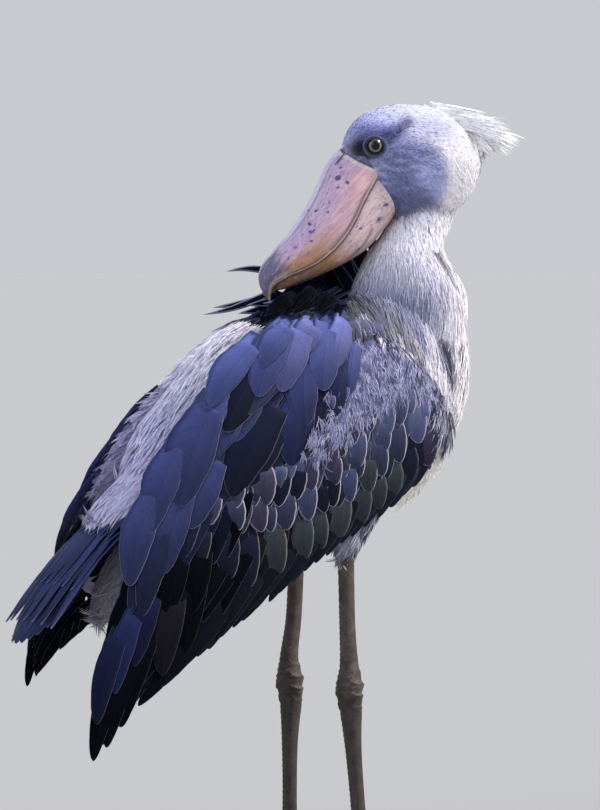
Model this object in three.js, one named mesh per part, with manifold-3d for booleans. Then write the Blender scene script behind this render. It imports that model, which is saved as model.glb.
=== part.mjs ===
// A life-size shoebill standing on both feet, its head turned back over its left shoulder to preen.
// Millimetres. +X is the way the breast faces, +Y the bird's left, +Z up, and z = 0 is the floor.
import * as THREE from "three";
import { mergeVertices } from "three/addons/utils/BufferGeometryUtils.js";
import Module from "manifold-3d";

const wasm = await Module();
wasm.setup();

// Driving sizes
const GAP = 0.3; // between touching nodes
const BIRD_PLACE = new THREE.Vector3(59.9, -7.8, 0); // puts the origin under the middle of the bird's box
const LEFT = 1;
const RIGHT = -1;
const Y_AXIS = new THREE.Vector3(0, 1, 0);
const FACET = { torso: 22, neck: 18, head: 16, bill: 20, limb: 8, toe: 6, claw: 5 };

// Torso, from the tail root to the neck base: [x, z, dorsal, ventral, lateral radius]
const TORSO = [
  [-302, 462, 12, 12, 24],
  [-276, 474, 28, 32, 44],
  [-222, 492, 54, 68, 64],
  [-146, 516, 95, 100, 92],
  [-52, 558, 134, 126, 114],
  [46, 614, 143, 144, 120],
  [122, 680, 104, 126, 102],
  [156, 742, 62, 66, 66],
];
// The fluff under the tail root, from the belly to its tip: [x, z, dorsal, ventral, lateral radius]
const VENT = [
  [-170, 466, 44, 52, 58],
  [-226, 416, 44, 48, 52],
  [-270, 370, 34, 34, 40],
  [-296, 342, 13, 13, 18],
];
// Neck, from inside the breast up into the head: [x, y, z, back, front, lateral radius]
const NECK = [
  [134, 0, 596, 60, 90, 88],
  [147, 0, 645, 76, 91, 90],
  [157, -1, 690, 84, 86, 84],
  [162, -2, 728, 82, 79, 80],
  [161, -3, 762, 76, 74, 75],
  [162, -4, 793, 62, 60, 61],
  [168, -5, 824, 46, 46, 46],
  [182, -5, 862, 42, 50, 44],
  [190, -5, 905, 42, 46, 44],
];
// Head: its centre, the turn of its bill from +X, and its outline as radii every 30 degrees
const HEAD_CENTRE = new THREE.Vector3(183, -5, 924);
const HEAD_TURN = THREE.MathUtils.degToRad(160);
const HEAD_RADII = [80, 80, 77, 75, 87, 108, 111, 94, 88, 78, 82, 80]; // from the nape, over the crown
const HEAD_HALF_WIDTH = 56;
const EYE = { forward: 73.5, up: 18.3, side: 41, radius: 13, opening: 8.4 };
// Crest: rows of locks, each with the turn of its roots from the nape and where its tips are. Neighbours are
// rolled opposite ways
const CREST = [
  { turn: 82, back: 76, up: 68, count: 3, fan: 18 },
  { turn: 66, back: 104, up: 55, count: 3, fan: 24 },
  { turn: 50, back: 129, up: 30, count: 4, fan: 27 },
  { turn: 36, back: 119, up: 14, count: 3, fan: 25 },
  { turn: 20, back: 98, up: 0, count: 3, fan: 21 },
];
const CREST_LOCK = { half: 12, thick: 7, point: 2, roll: 0.8 };
// Bill: where it grows from the head, its droop, and its stations
const BILL_ROOT = { forward: 76, up: -39 };
const BILL_DROOP = THREE.MathUtils.degToRad(44.2);
// The cutting edges, where the two halves meet: [along, height]
const BILL_EDGE = [
  [-34, 10.5],
  [-8, 4.5],
  [16, -2],
  [40, -11],
  [65, -18],
  [90, -20.5],
  [115, -18.5],
  [135, -13],
  [152, -6.5],
  [167, -3],
  [179, -4],
  [192, -14],
];
// [along, culmen height, half width]
const UPPER_BILL = [
  [-34, 62, 42],
  [-8, 63, 48],
  [16, 60.5, 51.5],
  [40, 51, 52.5],
  [65, 42, 52],
  [90, 35.5, 50],
  [115, 31, 46],
  [135, 29.5, 40],
  [152, 28.5, 33],
  [167, 26, 24],
  [179, 20, 14],
  [187, 10, 8],
  [192, -4, 3],
];
// [along, lowest height, half width]
const LOWER_BILL = [
  [-34, -34, 38],
  [0, -47, 47],
  [26, -51, 49.5],
  [54, -53, 50],
  [80, -48, 48],
  [105, -41, 44],
  [130, -32, 37],
  [150, -24, 28],
  [166, -17, 18],
  [178, -9, 7],
];
const BILL_RINGS = { upper: 15, lower: 14 }; // both halves have their rings at the same places
// The outlines of their sections, as shares of half width and height
const UPPER_SECTION = [
  [1, 0],
  [1, 0.16],
  [0.98, 0.33],
  [0.91, 0.5],
  [0.78, 0.65],
  [0.6, 0.77],
  [0.42, 0.84],
  [0.27, 0.86],
  [0.2, 0.92],
  [0.1, 0.99],
  [0, 1],
];
const LOWER_SECTION = [
  [1, 0],
  [1, 0.25],
  [0.96, 0.5],
  [0.86, 0.75],
  [0.64, 0.93],
  [0.34, 1],
  [0, 1],
];
const NOSTRIL = { along: -1, height: 55, side: 15, length: 23, width: 2.6, depth: 14 };

// Wings lie along the flanks in a plane: x runs from the wrist to the tip, y towards the back
const WRIST = { x: 148, z: 550 };
const WING_SLOPE = THREE.MathUtils.degToRad(37);
// [x, lower edge, upper edge, height out from the middle plane, thickness of the arm]
const WING = [
  [-40, 46, 110, 118, 24],
  [-14, 8, 184, 131, 32],
  [36, -17, 246, 137, 35],
  [107, -13, 264, 138, 31],
  [197, -6, 260, 131, 24],
  [301, 4, 235, 121, 17],
  [390, 18, 190, 115, 10],
  [450, 44, 130, 112, 6],
];
const WING_TIP = { x: 640, height: 106 };
const WING_CURL = { up: 0.0033, down: 0.0021 }; // how fast the wing bends in round the body
// Rows of vanes: where the tips of the first and last feather are, the rise of those between them, how many,
// their lengths, half width and angle below the wing's line, and how far they stand off the wing. In order:
// primaries, secondaries, tertials, greater coverts, two rows of median coverts and four of scapulars
const FEATHER_ROWS = [
  { from: [484, 124], to: [606, 12], bow: 22, count: 7, length: [170, 220], half: 16, aim: [17, 9], lift: 0 },
  { from: [150, -12], to: [528, 18], bow: -2, count: 8, length: [80, 130], half: 18, aim: [30, 16], lift: 3 },
  { from: [438, 150], to: [466, 54], bow: 8, count: 3, length: [96, 110], half: 24, aim: [28, 24], lift: 6 },
  { from: [150, 4], to: [350, 84], bow: -8, count: 6, length: [62, 76], half: 17, aim: [40, 30], lift: 6 },
  { from: [32, 40], to: [290, 112], bow: -14, count: 8, length: [48, 58], half: 16, aim: [38, 30], lift: 9 },
  { from: [44, 78], to: [262, 136], bow: 4, count: 6, length: [48, 56], half: 17, aim: [40, 30], lift: 12 },
  { from: [334, 192], to: [352, 150], bow: 0, count: 2, length: [78, 86], half: 25, aim: [24, 28], lift: 9 },
  { from: [116, 150], to: [272, 156], bow: 0, count: 4, length: [72, 90], half: 24, aim: [22, 22], lift: 12 },
  { from: [104, 190], to: [228, 210], bow: 0, count: 3, length: [64, 80], half: 25, aim: [16, 8], lift: 15 },
  { from: [118, 232], to: [266, 226], bow: 4, count: 4, length: [54, 66], half: 18, aim: [6, 12], lift: 12 },
];
// A vane's root is sunk in the wing and rises from it; longer vanes have one step more
const VANE = { thick: 2.4, sink: 8, rise: 0.35, tilt: 1.5, long: 100 };
// Shoulder feathers that the bill has ruffled: they stand up behind its tip, on the left wing alone
const RUFFLED = {
  from: [20, 302],
  to: [86, 282],
  bow: -12,
  count: 4,
  length: [124, 118],
  half: 11,
  aim: [-70, -38],
  out: 99,
};
// The left wing is folded closer: its tip is drawn in and its lower edge tucked up
const WING_POSES = {
  right: { side: RIGHT, reach: 1, tuck: 0, rows: FEATHER_ROWS },
  left: { side: LEFT, reach: 0.74, tuck: 50, rows: [...FEATHER_ROWS, RUFFLED] },
};

// Tail
const TAIL = {
  root: new THREE.Vector3(-256, 0, 492),
  droop: THREE.MathUtils.degToRad(47.5),
  bend: 9,
  count: 10,
  length: 236,
  half: 21,
  rootSpread: 4,
  tipSpread: 9,
  step: 2.7,
  fall: 2.3,
};

// Legs, for each side: x of the hip, ankle and foot, and how far the legs stand from the middle
const LEG_OUT = 65;
const LEGS = {
  right: { side: RIGHT, top: 30, ankle: 36, foot: 55, yaw: 5 },
  left: { side: LEFT, top: 33, ankle: 22, foot: 22, yaw: 12 },
};
const THIGH_END = 408;
const ANKLE_HEIGHT = 240;
const FOOT_HEIGHT = 16;
// [name, turn from straight ahead towards the outside, length, number of joints]
const TOES = [
  ["inner", -26, 126, 3],
  ["middle", 0, 160, 4],
  ["outer", 28, 138, 5],
  ["hind", 172, 82, 2],
];
const TOE = { root: 8.5, tip: 5.5, flat: 0.9 };
const CLAW = { length: 26, root: 4.2, tip: 0.7, drop: 4.5 };

const vec = (x, y, z) => new THREE.Vector3(x, y, z);
const lerp = THREE.MathUtils.lerp;
const smoothstep = THREE.MathUtils.smoothstep;

// A smooth curve through stations; each value of a station is a curve of its own.
class Stations {
  constructor(rows) {
    this.rows = rows;
  }
  at(t) {
    const rows = this.rows;
    const n = rows.length - 1;
    const place = Math.min(Math.max(t, 0), 1) * n;
    const i = Math.min(Math.floor(place), n - 1);
    const u = place - i;
    const p = rows[Math.max(i - 1, 0)];
    const q = rows[i];
    const r = rows[i + 1];
    const s = rows[Math.min(i + 2, n)];
    return q.map((_, k) => {
      const a = (r[k] - p[k]) / 2;
      const b = (s[k] - q[k]) / 2;
      const d = r[k] - q[k];
      return q[k] + u * (a + u * (3 * d - 2 * a - b + u * (a + b - 2 * d)));
    });
  }
  // The station whose first value is x, for stations in order of their first value.
  where(x) {
    let low = 0;
    let high = 1;
    for (let k = 0; k < 24; k++) {
      const middle = (low + high) / 2;
      if (this.at(middle)[0] < x) low = middle;
      else high = middle;
    }
    return this.at(low);
  }
}

// The largest closed surface of a manifold: drops loose scraps and fills sealed hollows.
function largest(made) {
  const pieces = made.decompose().sort((a, b) => Math.abs(b.volume()) - Math.abs(a.volume()));
  return pieces[0];
}

// A closed geometry as a manifold, turned to face out.
function solid(geometry) {
  geometry.deleteAttribute("normal");
  geometry.deleteAttribute("uv");
  const merged = mergeVertices(geometry, 1e-3);
  const vertProperties = merged.attributes.position.array;
  const triVerts = new Uint32Array(merged.index.array);
  const made = new wasm.Manifold(new wasm.Mesh({ numProp: 3, vertProperties, triVerts }));
  if (made.volume() > 0) return made;
  triVerts.reverse();
  return new wasm.Manifold(new wasm.Mesh({ numProp: 3, vertProperties, triVerts }));
}

// A closed tube: place(t, c, s) is the point at t along it, in the direction c, s across it.
function tube(steps, sides, place) {
  const geometry = new THREE.CylinderGeometry(1, 1, 1, sides, steps);
  const p = geometry.attributes.position;
  for (let i = 0; i < p.count; i++) {
    const v = place(p.getY(i) + 0.5, p.getZ(i), p.getX(i));
    p.setXYZ(i, v.x, v.y, v.z);
  }
  return solid(geometry);
}

const joined = (solids) => wasm.Manifold.union(solids);
const signedPower = (v, e) => (Math.abs(v) < 1e-9 ? 0 : Math.sign(v) * Math.abs(v) ** e);

// Sections stand closer together near the ends, where a form rounds off.
const crowd = (t) => t - (0.6 * Math.sin(2 * Math.PI * t)) / (2 * Math.PI);
const roundEnd = (t, share) => {
  const near = Math.min(t, 1 - t) / share;
  return near >= 1 ? 1 : Math.max(Math.sqrt(1 - (1 - near) ** 2), 0.03);
};

// A rounded form along stations [x, y, z, back, front, lateral]; grow moves its surface out.
class Form {
  constructor(rows, roundShare, squareness = 1) {
    this.stations = new Stations(rows);
    this.roundShare = roundShare;
    this.squareness = squareness;
  }
  frame(t) {
    const a = this.stations.at(Math.max(t - 0.01, 0));
    const b = this.stations.at(Math.min(t + 0.01, 1));
    const along = vec(b[0] - a[0], b[1] - a[1], b[2] - a[2]).normalize();
    const back = along.clone().cross(Y_AXIS).normalize();
    const across = back.clone().cross(along).normalize();
    return { along, back, across };
  }
  point(t, c, s, grow = 0, capped = false) {
    const [x, y, z, rBack, rFront, rSide] = this.stations.at(t);
    const { along, back, across } = this.frame(t);
    const end = capped ? roundEnd(t, this.roundShare) : 1;
    const full = signedPower(c, this.squareness);
    const wide = signedPower(s, this.squareness);
    const out = vec(x, y, z);
    out.addScaledVector(back, full * ((c > 0 ? rBack : rFront) + grow) * end);
    out.addScaledVector(across, wide * (rSide + grow) * end);
    return out.addScaledVector(along, Math.sign(t - 0.5) * grow * (1 - end));
  }
  solid(steps, sides, grow = 0) {
    return tube(steps, sides, (t, c, s) => this.point(crowd(t), c, s, grow, true));
  }
}

const inMiddle = ([x, z, ...radii]) => [x, 0, z, ...radii];
const torsoForm = new Form(TORSO.map(inMiddle), 0.12, 0.88);
const ventForm = new Form(VENT.map(inMiddle), 0.2);
const neckForm = new Form(NECK, 0.08);

function makeTorso(grow) {
  const body = torsoForm.solid(13, FACET.torso, grow);
  const vent = ventForm.solid(5, 12, grow);
  return body.add(vent);
}

// Head: axes that turn with it, and its outline
const headForward = vec(Math.cos(HEAD_TURN), Math.sin(HEAD_TURN), 0);
const headLeft = vec(-Math.sin(HEAD_TURN), Math.cos(HEAD_TURN), 0);
function headPoint(forward, up, side) {
  const p = HEAD_CENTRE.clone().addScaledVector(headForward, forward);
  p.addScaledVector(headLeft, side);
  p.z += up;
  return p;
}
const headOutline = new Stations([...HEAD_RADII, HEAD_RADII[0]].map((r) => [r]));
function headSurface(turn, tilt, grow) {
  const degrees = THREE.MathUtils.radToDeg(turn);
  const share = (((degrees % 360) + 360) % 360) / 360;
  const facing = Math.max(Math.cos(THREE.MathUtils.degToRad(degrees - 205)), 0);
  const blunt = 2 / (2.2 + facing); // the face is blunt, where the bill joins it
  const narrow = 1 - 0.2 * Math.max(Math.sin(turn), 0) * Math.cos(tilt); // the crown is the narrower part
  const r = (headOutline.at(share)[0] + grow) * Math.abs(Math.cos(tilt)) ** blunt;
  const w = (HEAD_HALF_WIDTH * narrow + grow) * signedPower(Math.sin(tilt), blunt);
  return headPoint(-Math.cos(turn) * r, Math.sin(turn) * r, w);
}
function headBall(steps, sides, grow) {
  return tube(steps, sides, (t, c, s) => {
    const tilt = Math.PI * (Math.min(Math.max(t, 0.012), 0.988) - 0.5);
    return c || s
      ? headSurface(Math.atan2(s, c), tilt, grow)
      : headPoint(0, 0, Math.sign(t - 0.5) * (HEAD_HALF_WIDTH + grow));
  });
}

function ball(centre, radius, sides) {
  const g = new THREE.SphereGeometry(radius, sides, sides / 2);
  return solid(g.translate(centre.x, centre.y, centre.z));
}
// A geometry made along +Z, moved to a place on the head and turned to look out to one side.
function lookingOut(geometry, centre, side) {
  const out = headLeft.clone().multiplyScalar(side);
  const turn = new THREE.Quaternion().setFromUnitVectors(vec(0, 0, 1), out);
  return solid(geometry.applyQuaternion(turn).translate(centre.x, centre.y, centre.z));
}

// A flat tapered lock or vane along a path: half width, thickness and sideways direction given.
function blade(steps, path, across, { half, thick, point }) {
  return tube(steps, 4, (t, c, s) => {
    const u = 1 - (1 - t) ** 1.5;
    const centre = path.getPoint(u);
    const along = path.getTangent(u);
    const side = across.clone().addScaledVector(along, -across.dot(along)).normalize();
    const up = along.clone().cross(side);
    const wide = half * Math.max(Math.min(0.55 + u, 1) * Math.sqrt(Math.max(1 - u ** point, 0)), 0.08);
    const deep = thick * Math.max(1 - u ** 3, 0.25);
    return centre.addScaledVector(side, s * wide).addScaledVector(up, (c * deep) / 2);
  });
}

// Crest: tapered locks that stand off the nape, fanned a little
function crestLocks() {
  const locks = [];
  for (const row of CREST)
    for (let i = 0; i < row.count; i++) {
      const fan = (i / (row.count - 1) - 0.5) * 2;
      const short = 1 - 0.16 * Math.abs(fan) - 0.1 * (i % 2);
      const turn = THREE.MathUtils.degToRad(row.turn);
      const root = headSurface(turn, fan * 0.32, -9);
      const tip = headPoint(-row.back * short, row.up * short, fan * row.fan);
      const middle = root.clone().lerp(tip, 0.55);
      middle.z += 5;
      const path = new THREE.QuadraticBezierCurve3(root, middle, tip);
      const roll = (i % 2 ? 1 : -1) * CREST_LOCK.roll;
      const across = headLeft.clone().multiplyScalar(Math.cos(roll)).setZ(Math.sin(roll));
      locks.push(blade(3, path, across, CREST_LOCK));
    }
  return locks;
}

function makeHead() {
  let head = joined([headBall(12, FACET.head, 0), ...crestLocks()]);
  const eyes = {};
  for (const [name, side] of [["eye_left", 1], ["eye_right", -1]]) {
    const centre = headPoint(EYE.forward, EYE.up, side * EYE.side);
    const depth = Math.sqrt(EYE.radius ** 2 - EYE.opening ** 2);
    const rim = headPoint(EYE.forward, EYE.up, side * (EYE.side + depth - 1.4));
    const lids = lookingOut(new THREE.TorusGeometry(EYE.opening + 2.6, 3, 4, 12), rim, side);
    const way = new THREE.CylinderGeometry(EYE.opening + 0.4, EYE.opening, 30, 12).rotateX(Math.PI / 2);
    const slot = lookingOut(way, headPoint(EYE.forward, EYE.up, side * (EYE.side + depth + 13)), side);
    head = head.add(lids).subtract(slot).subtract(ball(centre, EYE.radius + GAP, 12));
    eyes[name] = ball(centre, EYE.radius, 12);
  }
  return { head: largest(head), ...eyes };
}

// Bill: a point in its own frame, along it, up towards the culmen, and out to a side
const billAlong = vec(Math.cos(BILL_DROOP), 0, -Math.sin(BILL_DROOP));
function billPoint(along, height, side) {
  const forward = BILL_ROOT.forward + along * billAlong.x - height * billAlong.z;
  return headPoint(forward, BILL_ROOT.up + along * billAlong.z + height * billAlong.x, side);
}
// A point round a section: its outline is given on one side, and it is closed by a straight line.
function sectionPoint(outline, c, s) {
  const share = (Math.atan2(s, c) / (2 * Math.PI) + 1) % 1;
  if (share > 0.82) return [lerp(-1, 1, (share - 0.82) / 0.18), 0];
  const from = 2 * Math.abs(share / 0.82 - 0.5); // 1 at the edges and 0 in the middle
  const place = (1 - from) * (outline.length - 1);
  const i = Math.min(Math.floor(place), outline.length - 2);
  const w = lerp(outline[i][0], outline[i + 1][0], place - i);
  const h = lerp(outline[i][1], outline[i + 1][1], place - i);
  return [share < 0.41 ? w : -w, h];
}
const billEdge = new Stations(BILL_EDGE);
const upperBill = new Stations(UPPER_BILL);
const lowerBill = new Stations(LOWER_BILL);
function alongBill(ring) {
  const first = BILL_EDGE[0][0];
  return first + ((BILL_EDGE[BILL_EDGE.length - 1][0] - first) * ring) / BILL_RINGS.upper;
}
function makeUpperBill() {
  const made = tube(BILL_RINGS.upper, FACET.bill, (t, c, s) => {
    const along = alongBill(t * BILL_RINGS.upper);
    const [, culmen, half] = upperBill.where(along);
    const edge = billEdge.where(along)[1];
    const [out, up] = c || s ? sectionPoint(UPPER_SECTION, c, s) : [0, 0.3];
    return billPoint(along, edge + GAP / 2 + (culmen - edge) * up, out * half);
  });
  const slits = [-1, 1].map((side) => {
    const box = new THREE.BoxGeometry(NOSTRIL.length, NOSTRIL.width, NOSTRIL.depth);
    box.rotateZ(-BILL_DROOP - 0.1);
    const basis = new THREE.Matrix4().makeBasis(headForward, vec(0, 0, 1), headLeft);
    const centre = billPoint(NOSTRIL.along, NOSTRIL.height, side * NOSTRIL.side);
    return solid(box.applyMatrix4(basis).translate(centre.x, centre.y, centre.z));
  });
  return made.subtract(joined(slits));
}
function makeLowerBill() {
  return tube(BILL_RINGS.lower, FACET.bill - 4, (t, c, s) => {
    const along = alongBill(t * BILL_RINGS.lower);
    const [, lowest, half] = lowerBill.where(along);
    const edge = billEdge.where(along)[1];
    const [out, down] = c || s ? sectionPoint(LOWER_SECTION, c, s) : [0, 0.3];
    return billPoint(along, edge - GAP / 2 - (edge - lowest) * down, out * half);
  });
}

// Neck plumes: long narrow feathers that hang down the lower neck, lowest over the breast
const PLUMES = [
  { from: 0.54, to: 0.33, count: 11, half: 13, lift: 4 },
  { from: 0.38, to: 0.17, count: 12, half: 14, lift: 5.5 },
];
const PLUME = { thick: 4, point: 3 };
const PLUME_SPACE = 9;
function neckPlumes() {
  const plumes = [];
  PLUMES.forEach((row, k) => {
    for (let i = 0; i < row.count; i++) {
      const angle = ((i + 0.5 * k) / row.count) * 2 * Math.PI;
      const c = Math.cos(angle);
      const s = Math.sin(angle);
      const low = row.to + 0.1 * c + 0.025 * (i % 2);
      const high = row.from + 0.05 * c;
      const root = neckForm.point(high, c, s, -6);
      const middle = neckForm.point((high + low) / 2, c, s, row.lift * 0.6);
      const tip = neckForm.point(low, c, s, row.lift);
      const path = new THREE.QuadraticBezierCurve3(root, middle, tip);
      const across = vec(-s, 0, 0).addScaledVector(Y_AXIS, -c);
      plumes.push(blade(3, path, across, { ...PLUME, half: row.half }));
    }
  });
  return plumes;
}

// Wings: heights out from the bird's middle plane, and vanes laid over them
const wingStations = new Stations(WING);
function wingHeight(x, y) {
  const [, low, high, height] = wingStations.where(Math.min(x, WING[WING.length - 1][0]));
  const end = WING[WING.length - 1];
  const past = Math.max((x - end[0]) / (WING_TIP.x - end[0]), 0);
  const middle = lerp((low + high) / 2, 0, Math.min(past, 1));
  const off = y - middle;
  const curl = off > 0 ? WING_CURL.up : WING_CURL.down;
  return lerp(height, WING_TIP.height, Math.min(past, 1)) - curl * off * off;
}
function wingPoint(pose, x, y, out) {
  const drawn = x > 400 ? 400 + (x - 400) * pose.reach : x;
  const tuck = pose.tuck * smoothstep(x, 140, 400) * Math.max(1 - y / 200, 0);
  const cos = Math.cos(WING_SLOPE);
  const sin = Math.sin(WING_SLOPE);
  const across = y + tuck;
  return vec(WRIST.x - cos * drawn - sin * across, pose.side * out, WRIST.z - sin * drawn + cos * across);
}
function wingArm(pose) {
  return tube(10, 14, (t, c, s) => {
    const [x, low, high, , thick] = wingStations.at(t);
    const end = roundEnd(t, 0.08);
    const y = (low + high) / 2 + signedPower(c, 0.7) * (high - low) * 0.5 * end;
    const depth = thick * (1 - signedPower(s, 0.2)) * 0.5;
    return wingPoint(pose, x, y, wingHeight(x, y) - depth);
  });
}
function wingVane(pose, row, share, wobble) {
  const aim = THREE.MathUtils.degToRad(lerp(row.aim[0], row.aim[1], share) + wobble * 2);
  const tip = [lerp(row.from[0], row.to[0], share), lerp(row.from[1], row.to[1], share)];
  tip[1] += row.bow * 4 * share * (1 - share);
  const length = lerp(row.length[0], row.length[1], share) * (1 + wobble * 0.05);
  return tube(length > VANE.long ? 4 : 3, 4, (t, c, s) => {
    const u = 1 - (1 - t) ** 1.6;
    const back = length * (1 - u);
    const bow = 0.05 * length * u * (1 - u) * 4;
    const x = tip[0] - back * Math.cos(aim) + bow * Math.sin(aim);
    const y = tip[1] + back * Math.sin(aim) + bow * Math.cos(aim);
    const round = u > 0.6 ? Math.sqrt(Math.max(1 - ((u - 0.6) / 0.4) ** 2, 0)) : 1;
    const half = row.half * Math.max(Math.min(0.45 + 0.9 * u, 1) * round, 0.06);
    const off = s * half;
    const px = x + off * Math.sin(aim);
    const py = y + off * Math.cos(aim);
    const deep = (c * VANE.thick) / 2;
    if (row.out) return wingPoint(pose, px, py, row.out + s * VANE.tilt + deep);
    const lift = lerp(-VANE.sink, row.lift, Math.min(u / VANE.rise, 1)) - s * VANE.tilt;
    return wingPoint(pose, px, py, wingHeight(px, py) + lift + deep);
  });
}
function makeWing(pose) {
  const pieces = [wingArm(pose)];
  for (const row of pose.rows)
    for (let i = 0; i < row.count; i++)
      pieces.push(wingVane(pose, row, i / (row.count - 1), Math.sin(i * 2.4 + row.length[0])));
  return joined(pieces);
}

// Tail: a short root and a closed fan of vanes that bends down, the middle pair on top
const tailAlong = vec(-Math.cos(TAIL.droop), 0, -Math.sin(TAIL.droop));
const tailUp = vec(-Math.sin(TAIL.droop), 0, Math.cos(TAIL.droop));
function tailPoint(far, height, y) {
  const u = far / TAIL.length;
  const p = TAIL.root.clone().addScaledVector(tailAlong, far).addScaledVector(Y_AXIS, y);
  return p.addScaledVector(tailUp, height + TAIL.bend * 4 * u * (1 - u));
}
function makeTail() {
  const root = tube(4, 10, (t, c, s) => {
    const end = roundEnd(crowd(t), 0.3);
    return tailPoint(-10 + 110 * t, (c * lerp(14, 4, t) - 5) * end, s * lerp(32, 26, t) * end);
  });
  const vanes = [];
  for (let i = 0; i < TAIL.count; i++) {
    const k = i - (TAIL.count - 1) / 2;
    const length = TAIL.length - TAIL.fall * k * k;
    vanes.push(
      tube(4, 4, (t, c, s) => {
        const u = 1 - (1 - t) ** 1.5;
        const round = u > 0.8 ? Math.sqrt(Math.max(1 - ((u - 0.8) / 0.2) ** 2, 0)) : 1;
        const half = TAIL.half * Math.max(Math.min(0.5 + u, 1) * round, 0.1);
        const layer = -Math.abs(k) * TAIL.step * (0.4 + 0.6 * u) - Math.sign(k) * s * 1.2 * u;
        const y = k * lerp(TAIL.rootSpread, TAIL.tipSpread, u) + s * half;
        return tailPoint(lerp(20, length, u), layer + (c * VANE.thick) / 2, y);
      }),
    );
  }
  return joined([root, ...vanes]);
}

// Legs: feathered thigh, bare leg with its ankle joint, foot and claws
function legForms(leg) {
  const y = leg.side * LEG_OUT;
  const thigh = new Form(
    [
      [leg.top + 14, y * 0.86, 545, 62, 58, 38],
      [leg.top + 8, y * 0.92, 492, 54, 50, 33],
      [leg.top + 2, y, 445, 33, 31, 24],
      [leg.top, y, THIGH_END, 13, 13, 12],
    ],
    0.12,
  );
  const shank = new Form(
    [
      [leg.top, y, THIGH_END + 30, 11, 11, 10],
      [lerp(leg.top, leg.ankle, 0.4), y, 335, 10.5, 10.5, 9.5],
      [leg.ankle - 1, y, ANKLE_HEIGHT + 38, 12.5, 12, 11],
      [leg.ankle, y, ANKLE_HEIGHT + 6, 18.5, 17, 15.5],
      [leg.ankle + 1, y, ANKLE_HEIGHT - 20, 16, 14, 13.5],
      [lerp(leg.ankle, leg.foot, 0.3), y, 165, 11, 10.5, 10],
      [lerp(leg.ankle, leg.foot, 0.65), y, 95, 9.5, 9.5, 9],
      [lerp(leg.ankle, leg.foot, 0.9), y, 42, 10.5, 10.5, 11],
      [leg.foot, y, FOOT_HEIGHT, 11, 12, 13],
    ],
    0.03,
  );
  return { thigh, shank };
}
function toePath(leg, turn, length) {
  const yaw = THREE.MathUtils.degToRad(leg.side * (turn + leg.yaw));
  const from = vec(leg.foot, leg.side * LEG_OUT, 0);
  const way = vec(Math.cos(yaw), Math.sin(yaw), 0);
  return (u, height) => from.clone().addScaledVector(way, length * u).setZ(height);
}
function makeToe(leg, [, turn, length, joints]) {
  const path = toePath(leg, turn, length);
  const yaw = THREE.MathUtils.degToRad(leg.side * (turn + leg.yaw));
  const across = vec(-Math.sin(yaw), Math.cos(yaw), 0);
  return tube(joints * 2 + 1, FACET.toe, (t, c, s) => {
    const knuckle = 1 + 0.1 * Math.cos(2 * Math.PI * joints * t);
    const r = lerp(TOE.root, TOE.tip, t) * knuckle * Math.max(roundEnd(t, 0.06), 0.3);
    const centre = lerp(TOE.root, TOE.tip, t) - TOE.flat + 9 * Math.max(1 - t * 4, 0);
    return path(t, centre + c * r).addScaledVector(across, s * r);
  });
}
function makeClaw(leg, [, turn, length], grow) {
  const path = toePath(leg, turn, 1);
  const yaw = THREE.MathUtils.degToRad(leg.side * (turn + leg.yaw));
  const across = vec(-Math.sin(yaw), Math.cos(yaw), 0);
  return tube(3, FACET.claw, (t, c, s) => {
    const r = lerp(CLAW.root, CLAW.tip, t) + grow;
    const height = CLAW.root + 1.6 + 1.5 * Math.sin(Math.PI * t) - CLAW.drop * t * t;
    const centre = path(length - 5 + CLAW.length * t, Math.max(height + c * r, 0.2));
    return centre.addScaledVector(across, s * r * 0.8);
  });
}
function floorCutter() {
  return solid(new THREE.BoxGeometry(1200, 600, 40).translate(0, 0, -20));
}

// Materials, one for each kind of surface
const look = (color, roughness) => new THREE.MeshStandardMaterial({ color, roughness, metalness: 0 });
const MATERIALS = {
  plumage: look(0xc3c1cc, 0.9),
  slate: look(0x4d5878, 0.75),
  tail: look(0x3a4260, 0.7),
  bill: look(0xc9a99a, 0.5),
  eye: look(0xd8d9b8, 0.1),
  leg: look(0x5b4a48, 0.7),
  claw: look(0x2b2627, 0.45),
};
function meshOf(name, made, material) {
  const { numProp, vertProperties, triVerts } = made.getMesh();
  const geometry = new THREE.BufferGeometry();
  const positions = new Float32Array((vertProperties.length / numProp) * 3);
  for (let i = 0; i < positions.length / 3; i++)
    positions.set(vertProperties.subarray(i * numProp, i * numProp + 3), i * 3);
  geometry.setAttribute("position", new THREE.BufferAttribute(positions, 3));
  geometry.setIndex(new THREE.BufferAttribute(new Uint32Array(triVerts), 1));
  geometry.computeVertexNormals();
  const mesh = new THREE.Mesh(geometry, material);
  mesh.name = name;
  return mesh;
}

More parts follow.
